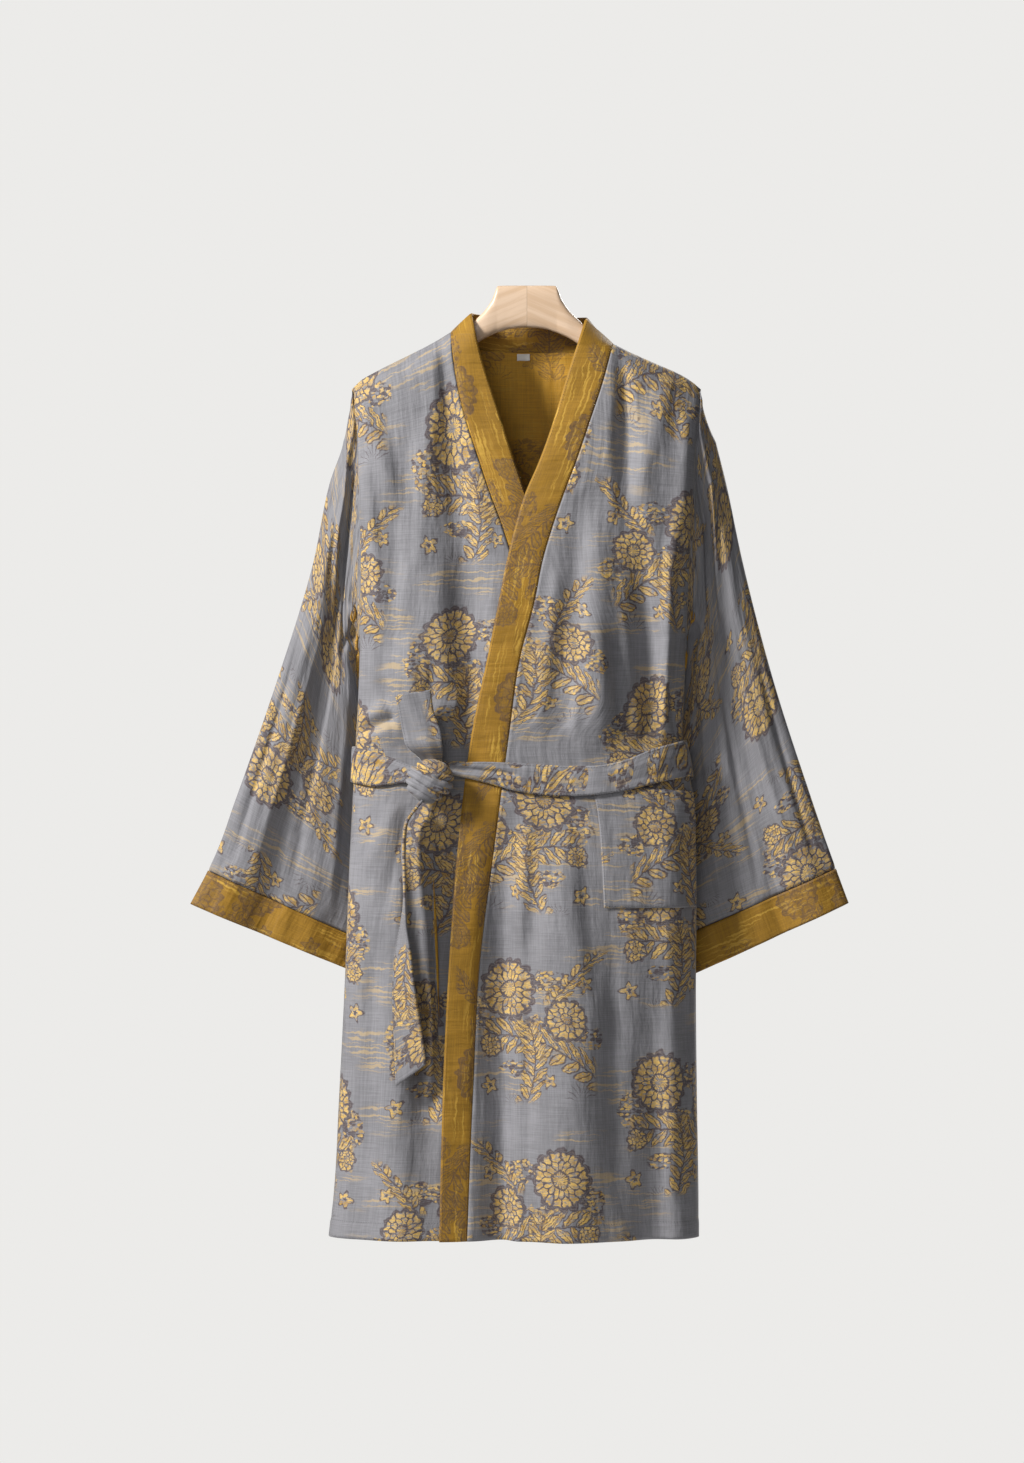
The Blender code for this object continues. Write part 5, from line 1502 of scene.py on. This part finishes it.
def add_back_cloth():
    """The back, with its wall thin at the side and shoulder seams and whole at the neck."""
    rows = np.array([back_row(level) for level in body_levels(ROW_STEP)])
    grid = rows + normals_of(rows, False) * relief("back", rows, sum(BACK_COLUMNS) // 2)[..., None]
    uv = uv_of(grid, sum(BACK_COLUMNS) // 2, UV_SHIFT["back"])
    u, v = cloth_lengths(rows, 0)
    on_shoulder = np.ones(grid.shape[1], bool)
    on_shoulder[BACK_COLUMNS[0] + 1 : -BACK_COLUMNS[2] - 1] = False
    top = np.where(on_shoulder, seam_share(v[-1:] - v), 1)
    share = np.minimum(np.minimum(seam_share(u), seam_share(u[:, -1:] - u)), top)
    cloth = woven("back_cloth", grid, uv, WALL, faces(OUTSIDE, INSIDE_PAINTED_LIGHTER), share=share)
    state_sheet(cloth, "back", "grey_gauze", grid, "hanger")
    return grid


def sleeve_relief(grid, start, last):
    """How far each point of a sleeve rises: creases by place across and along it, and the slow waves."""
    rows, columns = grid.shape[:2]
    turn = np.linspace(0, 2 * np.pi, columns, endpoint=False)
    across = np.where(np.sin(turn) >= 0, -1, 1) * (1 - np.cos(turn)) / 2
    along = np.linspace(start, last, rows)[:, None]
    u, v = cloth_lengths(grid, 0)
    free = np.clip((along - 0.005) / 0.03, 0, 1)
    fold_edge = np.clip(np.minimum(np.abs(across), 1 - np.abs(across)) / 0.04, 0, 1)
    stretch = {"along0": SLEEVE_SHAPE, "along1": SLEEVE_SHAPE}
    longer = {name: values * stretch.get(name, 1) for name, values in SLEEVE_CREASES.items()}
    rise = CREASE_DEPTH * crease(longer, across, along * SLEEVE_SHAPE)
    return (rise + waves(u, v)) * fold_edge * free


def rounded_folds(grid, radius):
    """A sleeve's rings with both of their long folds rounded to a radius, so that the wall fits inside."""
    columns = grid.shape[1]
    turn = np.linspace(0, 2 * np.pi, columns, endpoint=False)
    across = (1 - np.cos(turn)) / 2
    half = columns // 2
    middle = grid[:, :1] + (grid[:, half : half + 1] - grid[:, :1]) * across[None, :, None]
    chord = np.linalg.norm(grid[:, half] - grid[:, 0], axis=1)[:, None]
    near = np.minimum(np.minimum(across, 1 - across)[None] * chord, radius)
    least = np.sqrt(np.maximum(2 * radius * near - near**2, 0))
    off = grid[..., 1] - middle[..., 1]
    face = np.where(np.sin(turn) >= 0, -1, 1)[None]
    made = grid.copy()
    made[..., 1] = middle[..., 1] + face * np.maximum(np.abs(off), least)
    return made


def add_sleeve(side):
    """A sleeve. Its first ring is drawn in under the body, and its wall is thin by the armhole."""
    sign = -1 if side == "right" else 1
    grid = rounded_folds(sleeve_grid(side, 0.0, CUFF_SEAM, SLEEVE_RINGS), WALL * FOLD_ROUND)
    at = np.linspace(0.0, CUFF_SEAM, SLEEVE_RINGS + 1)
    rise = sleeve_relief(grid, 0.0, CUFF_SEAM)
    rise = rise + (SLEEVE_PUFF * np.exp(-(((at - PUFF_AT) / PUFF_REACH) ** 2)))[:, None]
    rise = rise - SEAM_DIP * np.clip(1 - (CUFF_SEAM - at) / CUFF_DIP_REACH, 0, 1)[:, None]
    grid = grid + normals_of(grid, True) * sign * rise[..., None]
    under = grid[:1] + (grid[:1].mean(axis=1) - grid[:1]) * SLEEVE_TUCK
    grid = np.concatenate([under - np.array([sign * SLEEVE_TUCK_REACH, 0, 0]), grid])
    share = np.clip(SLEEVE_THIN + np.concatenate([[0.0], at])[:, None] / SLEEVE_THIN_REACH, 0, 1)
    add_tube("sleeve", side, grid, WALL, faces(OUTSIDE, INSIDE_PAINTED_LIGHTER), share, "grey_gauze")


def add_cuff(side):
    """A turned-back cuff."""
    grid = rounded_folds(sleeve_grid(side, CUFF_SEAM + CUFF_GAP, 1.0, CUFF_RINGS), BAND_WALL * FOLD_ROUND)
    share = np.ones((CUFF_RINGS + 1, 1))
    return add_tube("cuff", side, grid, BAND_WALL, faces(REVERSE, REVERSE), share, "ochre_reverse")


def add_tube(name, side, grid, wall, finishes, share, slot):
    """A ringed tube of cloth, closed along its first column. Gives back its grid."""
    grid = np.concatenate([grid, grid[:, :1]], axis=1)
    uv = uv_of(grid, 0, UV_SHIFT[f"{name}_{side}"])
    if side == "right":
        grid, uv = grid[:, ::-1], uv[:, ::-1]
    cloth = woven(f"{name}_{side}_cloth", grid, uv, wall, finishes, True, share)
    state_sheet(cloth, f"{name}_{side}", slot, grid, f"front_{side}")
    return grid


def add_neckband_cloth():
    """The neckband, up the right front, round the neck and down the left front."""
    heights = list(np.arange(HEM_Z, BAND_TURN_Z, ROW_STEP))
    right = band_front_rows("right", heights + list(np.linspace(*RIGHT_TURN_ROWS)))
    left = band_front_rows("left", list(np.linspace(*LEFT_TURN_ROWS)) + heights[::-1])
    grid = np.array(right + band_neck_rows() + left)
    normal = normals_of(grid, False)
    u, v = cloth_lengths(grid, 0)
    width = u[:, -1:]
    full = np.sin(np.pi * u / width)
    crown = BAND_CROWN * full + waves(u, v) * BAND_WAVES * full
    sunk = BAND_SINK * np.clip(1 - u / 0.004, 0, 1) + BAND_EDGE_SINK * np.clip(1 - (width - u) / 0.003, 0, 1)
    lifted = np.zeros_like(u)
    lifted[-len(left) :] = np.clip((BAND_LIFT_Z - grid[-len(left) :, :, 2]) / BAND_LIFT_REACH, 0, 1)
    grid = grid + normal * (crown - sunk + BAND_LIFT * lifted * u / width)[..., None]
    uv = uv_of(grid, 0, UV_SHIFT["neckband"])[..., ::-1]
    cloth = woven("neckband_cloth", grid, uv, BAND_WALL, faces(REVERSE, REVERSE))
    state_sheet(cloth, "neckband", "ochre_reverse", grid, "front_right", "front_left", "back")
    return grid


def add_pocket_cloth(front):
    """The patch pocket: a part of the left front's own creased face, moved out."""
    z = front[:, 0, 2]
    heights = np.linspace(POCKET_BOTTOM, POCKET_TOP, POCKET_ROWS)
    rows = []
    for height in heights:
        at = np.interp(height, z, np.arange(len(z)))
        low = int(at)
        dense = front[low] + (front[low + 1] - front[low]) * (at - low)
        rows.append(points_at(np.linspace(POCKET_NEAR, POCKET_FAR, POCKET_COLUMNS), run_of(dense), dense))
    under = np.array(rows)
    normal = -normals_of(under, False)
    near = np.linspace(1, 0, POCKET_COLUMNS)[None, :]
    high = np.linspace(0, 1, POCKET_ROWS)[:, None]
    corner = near**2 * high**3
    below = (1 - high) * (POCKET_TOP - POCKET_BOTTOM)
    edge = 0.0006 * np.exp(-((below - POCKET_TURN) ** 2) / 0.0012**2)
    u, v = cloth_lengths(under, 0)
    border = np.maximum(near_edge(u, 0.004), near_edge(v.T, 0.004).T * (high < 0.5)) ** 0.5
    share = 1 - 0.7 * border
    grid = under + normal * (POCKET_WALL * share + POCKET_LIFT + POCKET_GAPE * corner - edge)[..., None]
    grid[..., 2] -= POCKET_CORNER_DROP * corner
    uv = uv_of(under, 0, UV_SHIFT["pocket"])
    finishes = faces(OUTSIDE, INSIDE_PAINTED_LIGHTER)
    cloth = woven("pocket_cloth", grid[:, ::-1], uv[:, ::-1], POCKET_WALL, finishes, share=share[:, ::-1])
    state_sheet(cloth, "pocket", "grey_gauze", grid, "front_left")
    return grid, normal


def belt_route():
    """The angles of the belt's columns, from the knot round the body and back to the knot."""
    turn = np.linspace(0, 2 * np.pi, 8 * FINE + 1)
    x, y = belt_section(turn, np.full_like(turn, WAIST_Z))
    past = np.where((y < 0) & (x > KNOT_CENTRE[0]), turn - 2 * np.pi, turn)
    order = np.argsort(past, kind="stable")
    keep = (y > 0) | (np.abs(x - KNOT_CENTRE[0]) > KNOT_PASS)
    order = order[keep[order]]
    length = np.concatenate([[0], np.cumsum(np.hypot(np.diff(x[order]), np.diff(y[order])))])
    return np.interp(np.linspace(0, length[-1], BELT_COLUMNS + 1), length, past[order])


def add_belt_waist_cloth():
    """The belt round the waist, a little crowned, with creases on the front."""
    turn = belt_route()
    x, y = belt_section(turn, np.full_like(turn, WAIST_Z))
    top, bottom = belt_heights(x, y)
    grid = []
    for share in np.linspace(0, 1, BELT_ROWS + 1):
        z = bottom + (top - bottom) * share
        x, y = belt_section(turn, z)
        grid.append(np.stack([x, y, z], axis=1))
    grid = np.array(grid)
    normal = normals_of(grid, False)
    share = np.linspace(0, 1, BELT_ROWS + 1)[:, None]
    u, v = cloth_lengths(grid, 0)
    front = np.clip(-grid[..., 1] / BELT_FRONT_REACH, 0, 1)
    rise = BELT_CROWN * np.sqrt(4 * share * (1 - share)) - BELT_SINK
    rise = rise + front * crease(BELT_CREASES, grid[..., 0], grid[..., 2])
    rise = rise + 0.0007 * np.sin(61 * u + 2.0) * np.sin(np.pi * share) + 0.0003 * np.sin(173 * u + 60 * v)
    grid = grid + normal * rise[..., None]
    uv = uv_of(grid, 0, UV_SHIFT["belt_waist"])
    cloth = woven("belt_waist_cloth", grid, uv, BELT_WALL, faces(OUTSIDE, OUTSIDE))
    state_sheet(cloth, "belt_waist", "grey_gauze", grid, "back", "front_right", "front_left")
    return grid


def add_knot_cloth():
    """The knot: a round lump whose turns of belt cross it aslant, with deep pleats between them."""
    bm = bmesh.new()
    bm.loops.layers.uv.new("cloth")
    bmesh.ops.create_uvsphere(bm, u_segments=112, v_segments=72, radius=1, calc_uvs=True)
    cloth = bm.loops.layers.uv["cloth"]
    for vert in bm.verts:
        x, y, z = vert.co
        slant = 0.90 * z + 0.44 * x + 0.07 * math.sin(2.4 * x + 1.0)
        size = KNOT_FULL
        for at, wide, deep in zip(*KNOT_PLEATS.values()):
            size -= deep * math.exp(-abs((slant - at) / wide) ** 1.5)
        size += 0.020 * math.sin(9 * x - 6 * z + 1.0) * (1 - z * z)
        narrow = 1 - 0.22 * max(-z, 0) ** 2
        shape = zip(KNOT_CENTRE, KNOT_HALF, (x * narrow, y, z))
        vert.co = [centre + half * value * size for centre, half, value in shape]
    for face in bm.faces:
        for loop in face.loops:
            x, y, z = (loop.vert.co[i] - KNOT_CENTRE[i] for i in range(3))
            bend = math.atan2(y, 0.02) * 0.02
            loop[cloth].uv = (0.90 * x - 0.44 * z + bend + 1.73, 0.44 * x + 0.90 * z + 0.61)
    bmesh.ops.recalc_face_normals(bm, faces=bm.faces)
    knot = placed("belt_knot_cloth", mesh_of("belt_knot_cloth", bm), faces(OUTSIDE))
    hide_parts("belt_knot")


def add_belt_end_cloths():
    """The short end above the knot, and the long end that twists as it hangs."""
    n = UPPER_END
    share = np.linspace(0, 1, UPPER_COLUMNS)
    grid = []
    for z in np.linspace(n["z"][0], n["z"][-1], UPPER_ROWS):
        left, right = through(n["z"], n["left"], z), through(n["z"], n["right"], z)
        curve = 0.003 * np.sin(np.pi * share) + through(n["z"], n["lean"], z) * (share - 0.5)
        curve = curve + 0.0009 * np.sin(9.0 * share + 55.0 * z) * np.sin(np.pi * share)
        y = through(n["z"], n["y"], z) - curve
        grid.append(np.stack([left + (right - left) * share, y, np.full(UPPER_COLUMNS, z)], axis=1))
    grid = np.array(grid)
    grid[..., 2] += 0.0060 * np.linspace(0, 1, UPPER_ROWS)[:, None] * (share - 0.5)
    add_belt_end("belt_end_up", grid, 1)
    upper = grid
    n = {name: values[::-1] for name, values in LOWER_END.items()}
    share = np.linspace(0, 1, LOWER_COLUMNS)
    grid = []
    for z in np.linspace(LOWER_END["z"][0], LOWER_END["z"][-1], LOWER_ROWS):
        now = {name: through(n["z"], n[name], z) for name in n}
        turn = math.radians(now["turn"])
        off = (share * 2 - 1) * now["half"]
        bow = 0.0012 * np.sin(np.pi * share) + 0.0005 * np.sin(70.0 * z + 5.0 * share)
        x = now["x"] + off * math.cos(turn) + bow * math.sin(turn)
        y = now["y"] - off * math.sin(turn) + bow * math.cos(turn)
        grid.append(np.stack([x, y, np.full(LOWER_COLUMNS, z)], axis=1))
    grid = np.array(grid)
    slant = np.clip((-0.83 - grid[..., 2]) / 0.07, 0, 1)
    grid[..., 2] += slant * LOWER_END_SLANT * (share - 0.5) * 2
    add_belt_end("belt_end_down", grid, -1)
    return upper, grid


def add_belt_end(name, grid, sign):
    """One end of the belt, its face turned to the side that sign gives."""
    uv = uv_of(grid, 0, UV_SHIFT[name])
    turned, spread = (grid, uv) if sign > 0 else (grid[:, ::-1], uv[:, ::-1])
    cloth = woven(f"{name}_cloth", turned, spread, BELT_WALL, faces(OUTSIDE, OUTSIDE))
    state_sheet(cloth, name, "grey_gauze", grid, "belt_knot")


def add_label_cloth():
    """The blank label that hangs from the neck seam on the inside of the back."""
    top = BACK_NECK_Z - LABEL_GAP
    x = np.linspace(LABEL_X - LABEL_WIDTH / 2, LABEL_X + LABEL_WIDTH / 2, LABEL_COLUMNS)
    rows = []
    for share in np.linspace(0, 1, LABEL_ROWS):
        z = top - LABEL_DROP * (1 - share)
        bow = 0.0004 * np.sin(np.pi * share) + 0.0002 * np.sin(400 * x)
        rows.append(np.stack([x, back_inside_y(x, z) - LABEL_WALL - bow, np.full(LABEL_COLUMNS, z)], axis=1))
    grid = np.array(rows)
    uv = uv_of(grid, 0, (0.0, 0.0))
    finish = bpy.data.materials.get("white woven tape") or tape_finish()
    label = woven("neck_label_tape", grid, uv, LABEL_WALL, (finish, finish))
    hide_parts("neck_label")


def add_hanger_wood():
    """The hanger: rounded sections lofted from tip to tip along its outline, closed at both tips."""
    at = np.linspace(0, len(HANGER["x"]) - 1, HANGER_STATIONS)
    outline = {}
    for name, values in HANGER.items():
        dense = np.interp(at, np.arange(len(values)), values)
        reach = len(SOFTENING) // 2
        mirrored = dense[reach:0:-1] * (-1 if name == "x" else 1)
        padded = np.concatenate([mirrored, dense, [dense[-1]] * reach])
        outline[name] = np.convolve(padded, np.array(SOFTENING) / sum(SOFTENING), "valid")
    sides = {name: np.concatenate([values[:0:-1], values]) for name, values in outline.items()}
    sides["x"][: HANGER_STATIONS - 1] *= -1
    turn = np.linspace(0, 2 * np.pi, HANGER_SIDES + 1)
    c, s = np.cos(turn), np.sin(turn)
    round_y = np.sign(c) * np.abs(c) ** HANGER_EDGE
    round_z = np.sign(s) * np.abs(s) ** HANGER_EDGE
    grid = []
    for x, top, bottom, half in zip(*(sides[name] for name in ("x", "top", "bottom", "half"))):
        z = (top + bottom) / 2 + (top - bottom) / 2 * round_z
        grid.append(np.stack([np.full_like(z, x), half * round_y, z], axis=1))
    caps = []
    for ring, out in ((grid[0], -1), (grid[-1], 1)):
        middle = ring.mean(axis=0)
        caps.append([middle + (ring - middle) * size + (out * push, 0, 0) for size, push in HANGER_TIP])
    grid = np.array(caps[0][::-1] + grid + caps[1])
    uv = np.stack([grid[..., 0], grid[..., 2]], axis=2)
    mesh, _, _ = grid_mesh("hanger_wood", grid, uv)
    close_seams(mesh)
    bm = bmesh.new()
    bm.from_mesh(mesh)
    bmesh.ops.recalc_face_normals(bm, faces=bm.faces)
    bm.to_mesh(mesh)
    bm.free()
    looks = bpy.context.scene.robe_looks
    finish = bpy.data.materials.get("pale lacquered wood") or wood_finish(tuple(looks.wood))
    wood = placed("hanger_wood", mesh, [finish])
    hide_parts("hanger")


def edge_stitches(name, lines, cloth):
    """Stitches in the thread of a cloth, slate or ochre."""
    looks = bpy.context.scene.robe_looks
    thread = thread_finish(f"{cloth} thread", tuple(getattr(looks, f"{cloth}_thread")))
    stitch_rows(name, lines, thread, looks.stitch)


def inset_line(grid, normal, inset, along_rows, first):
    """A line on a grid at a distance from one of its edges, for stitches. first picks which edge."""
    if along_rows:
        grid, normal = grid.transpose(1, 0, 2), normal.transpose(1, 0, 2)
    length = run_of(grid)
    wanted = np.full(len(grid), inset) if first else length[:, -1] - inset
    return tuple(
        np.array([points_at(at, run, row) for at, run, row in zip(wanted, length, values)])
        for values in (grid, normal)
    )


def light(name, place, aim, size, power, colour):
    """A square soft light that looks at a point."""
    lamp = bpy.data.lights.new(name, "AREA")
    lamp.shape = "SQUARE"
    lamp.size = size
    lamp.energy = power
    lamp.color = colour
    made = linked(name, lamp)
    made.location = place
    made.rotation_euler = (Vector(aim) - Vector(place)).to_track_quat("-Z", "Y").to_euler()


def add_floor(stage):
    """A round pale floor under the robe that fades into the backdrop."""
    bm = bmesh.new()
    bmesh.ops.create_circle(bm, cap_ends=True, segments=96, radius=stage.floor_radius)
    bmesh.ops.translate(bm, verts=bm.verts, vec=(0, 0, HEM_Z - stage.floor_drop))
    floor = linked("floor", mesh_of("floor", bm))
    made, web, shader = finish_of("pale floor")
    place = web.node("ShaderNodeTexCoord").outputs["Object"]
    x, y, _ = web.split(place)
    out = web.math("SQRT", web.plus(web.power(x, 2.0), web.power(y, 2.0)))
    web.fix(shader, Base_Color=(*stage.floor_colour, 1), Roughness=0.9, Specular_IOR_Level=0.1)
    web.put(shader.inputs["Alpha"], web.step(out, stage.floor_radius * 0.98, stage.floor_radius * 0.15))
    floor.data.materials.append(made)


def add_world(stage):
    """A plain pale surround: one tone behind the robe, and a weaker one as light on it."""
    world = bpy.data.worlds.new("pale studio")
    world.use_nodes = True
    web = Web(world.node_tree)
    world.node_tree.nodes.clear()
    seen = web.node("ShaderNodeBackground")
    web.fix(seen, Color=(*stage.backdrop, 1))
    lit = web.node("ShaderNodeBackground")
    web.fix(lit, Color=(1.0, 1.0, 1.0, 1), Strength=stage.surround)
    both = web.node("ShaderNodeMixShader")
    web.put(both.inputs[0], web.node("ShaderNodeLightPath").outputs["Is Camera Ray"])
    web.put(both.inputs[1], lit.outputs[0])
    web.put(both.inputs[2], seen.outputs[0])
    out = web.node("ShaderNodeOutputWorld")
    web.put(out.inputs[0], both.outputs[0])
    bpy.context.scene.world = world


def add_camera():
    """The camera at the photograph's place: level, straight in front, about five metres off."""
    lens = bpy.data.cameras.new("view")
    lens.sensor_fit = "VERTICAL"
    lens.sensor_height = SENSOR_MM
    lens.lens = SENSOR_MM * (CAMERA_DISTANCE - FACE_DEPTH) / FRAME_HEIGHT
    lens.clip_end = FARTHEST
    camera = linked("view", lens)
    camera.location = (FRAME_MIDDLE[0], -CAMERA_DISTANCE, FRAME_MIDDLE[1])
    camera.rotation_euler = (math.radians(90), 0, 0)
    bpy.context.scene.camera = camera


def colour_of(name, description, *rgb):
    """A colour that the user can change, as linear red, green and blue."""
    return FloatVectorProperty(name=name, description=description, subtype="COLOR", size=3, default=rgb)


def size_of(name, description, default, least=0.0, subtype="NONE"):
    """A length or a strength that the user can change."""
    return FloatProperty(name=name, description=description, subtype=subtype, default=default, min=least)


class RobeLooks(bpy.types.PropertyGroup):
    """Colours and sizes of the cloth, the thread and the wood."""

    slate: colour_of("Slate", "Ground of the grey face", 0.196, 0.194, 0.210)
    gold: colour_of("Gold", "Leaves on the grey face", 0.680, 0.440, 0.105)
    umber: colour_of("Umber", "Outlines on both faces", 0.060, 0.039, 0.043)
    mist: colour_of("Mist", "Fine streaks on the grey face", 0.460, 0.335, 0.170)
    ochre: colour_of("Ochre", "Ground of the reverse", 0.285, 0.150, 0.013)
    inside: colour_of("Inside", "Ground of the inside", 0.480, 0.255, 0.026)
    # Painted light: the inside's ground is the reverse's ochre painted about 1.7 times lighter, to lift the
    # shade that falls inside the robe.
    reverse_leaf: colour_of("Reverse leaf", "Leaves on the reverse", 0.120, 0.085, 0.060)
    bright_ochre: colour_of("Bright ochre", "Streaks on the reverse", 0.520, 0.310, 0.045)
    wood: colour_of("Wood", "Wood of the hanger", 0.630, 0.465, 0.330)
    slate_thread: colour_of("Slate thread", "Thread on the grey face", 0.150, 0.150, 0.165)
    ochre_thread: colour_of("Ochre thread", "Thread on the reverse", 0.300, 0.160, 0.022)
    stitch: size_of("Stitch", "Length of one stitch", 0.0032, 0.002, subtype="DISTANCE")


class RobeStage(bpy.types.PropertyGroup):
    """Floor, backdrop and lights."""

    backdrop: colour_of("Backdrop", "Tone behind the robe", 0.838, 0.831, 0.815)
    floor_colour: colour_of("Floor", "Tone of the floor", 0.820, 0.812, 0.800)
    floor_radius: size_of("Floor radius", "Reach of the floor", 2.2, 1.0, subtype="DISTANCE")
    floor_drop: size_of("Floor drop", "Height of the hem over the floor", 0.65, subtype="DISTANCE")
    surround: size_of("Surround", "Strength of the light from all round", 0.16)
    key: size_of("Key", "Power of the key light in watts", 305.0)
    fill: size_of("Fill", "Power of the fill light in watts", 34.0)
    rear: size_of("Rear", "Power of the light behind in watts", 130.0)


class ROBE_OT_fronts(bpy.types.Operator):
    """Add both fronts, their hems and the patch pocket"""

    bl_idname = "robe.fronts"
    bl_label = "Fronts and pocket"

    def execute(self, context):
        lines = []
        for side, sign in (("right", 1), ("left", -1)):
            grid = add_front(side)
            lines.append(inset_line(grid, normals_of(grid, False) * sign, HEM_TURN, True, True))
        pocket, normal = add_pocket_cloth(grid[:-1])
        lines += [inset_line(pocket, normal, POCKET_INSET, along, first) for along, first in POCKET_LINES]
        lines.append(inset_line(pocket, normal, POCKET_TURN, True, False))
        edge_stitches("front_stitches", lines, "slate")
        return {"FINISHED"}


class ROBE_OT_back(bpy.types.Operator):
    """Add the back and its hem"""

    bl_idname = "robe.back"
    bl_label = "Back"

    def execute(self, context):
        grid = add_back_cloth()
        lines = [inset_line(grid, normals_of(grid, False), HEM_TURN, True, True)]
        edge_stitches("back_stitches", lines, "slate")
        return {"FINISHED"}


class ROBE_OT_sleeves(bpy.types.Operator):
    """Add both sleeves and their cuffs"""

    bl_idname = "robe.sleeves"
    bl_label = "Sleeves and cuffs"

    def execute(self, context):
        lines = []
        for side in ("right", "left"):
            add_sleeve(side)
            grid = add_cuff(side)
            normal = normals_of(grid, False)
            lines += [inset_line(grid, normal, inset, True, first) for inset, first in CUFF_LINES]
        edge_stitches("cuff_stitches", lines, "ochre")
        return {"FINISHED"}


class ROBE_OT_neckband(bpy.types.Operator):
    """Add the neckband"""

    bl_idname = "robe.neckband"
    bl_label = "Neckband"

    def execute(self, context):
        grid = add_neckband_cloth()
        normal = normals_of(grid, False)
        lines = [inset_line(grid, normal, BAND_INSET, False, first) for first in (True, False)]
        edge_stitches("neckband_stitches", lines, "ochre")
        return {"FINISHED"}


class ROBE_OT_belt(bpy.types.Operator):
    """Add the belt: the waist, the knot and both ends"""

    bl_idname = "robe.belt"
    bl_label = "Belt"

    def execute(self, context):
        waist = add_belt_waist_cloth()
        add_knot_cloth()
        upper, lower = add_belt_end_cloths()
        lines = []
        for grid, sign, along in ((waist, 1, True), (upper, 1, False), (lower, -1, False)):
            normal = normals_of(grid, False) * sign
            lines += [inset_line(grid, normal, BELT_INSET, along, first) for first in (True, False)]
        edge_stitches("belt_stitches", lines, "slate")
        return {"FINISHED"}


class ROBE_OT_label(bpy.types.Operator):
    """Add the blank label in the neck"""

    bl_idname = "robe.label"
    bl_label = "Blank label"

    def execute(self, context):
        add_label_cloth()
        return {"FINISHED"}


class ROBE_OT_hanger(bpy.types.Operator):
    """Add the wooden hanger"""

    bl_idname = "robe.hanger"
    bl_label = "Hanger"

    def execute(self, context):
        add_hanger_wood()
        return {"FINISHED"}


class ROBE_OT_stage(bpy.types.Operator):
    """Add the floor, the backdrop, the lights and the camera"""

    bl_idname = "robe.stage"
    bl_label = "Stage"

    def execute(self, context):
        stage = context.scene.robe_stage
        context.scene.view_settings.view_transform = "Standard"
        add_camera()
        add_floor(stage)
        add_world(stage)
        for name, (place, size, colour) in LIGHTS.items():
            light(name, place, LIGHT_AIM, size, getattr(stage, name), colour)
        return {"FINISHED"}


class ROBE_PT_panel(bpy.types.Panel):
    """The robe's pieces, colours and stage"""

    bl_idname = "ROBE_PT_panel"
    bl_label = "Kimono robe"
    bl_space_type = "VIEW_3D"
    bl_region_type = "UI"
    bl_category = "Robe"

    def draw(self, context):
        for group in (context.scene.robe_looks, context.scene.robe_stage):
            column = self.layout.column(align=True)
            for name in group.__annotations__:
                column.prop(group, name)
        for operator in OPERATORS:
            self.layout.operator(operator.bl_idname)


OPERATORS = (
    ROBE_OT_stage,
    ROBE_OT_fronts,
    ROBE_OT_back,
    ROBE_OT_sleeves,
    ROBE_OT_neckband,
    ROBE_OT_belt,
    ROBE_OT_label,
    ROBE_OT_hanger,
)
CLASSES = (RobeLooks, RobeStage, *OPERATORS, ROBE_PT_panel)


def register():
    for made in CLASSES:
        bpy.utils.register_class(made)
    bpy.types.Scene.robe_looks = PointerProperty(type=RobeLooks)
    bpy.types.Scene.robe_stage = PointerProperty(type=RobeStage)


def unregister():
    del bpy.types.Scene.robe_stage
    del bpy.types.Scene.robe_looks
    for made in reversed(CLASSES):
        bpy.utils.unregister_class(made)


def main():
    register()
    for operator in OPERATORS:
        group, name = operator.bl_idname.split(".")
        getattr(getattr(bpy.ops, group), name)()


if __name__ == "__main__":
    main()
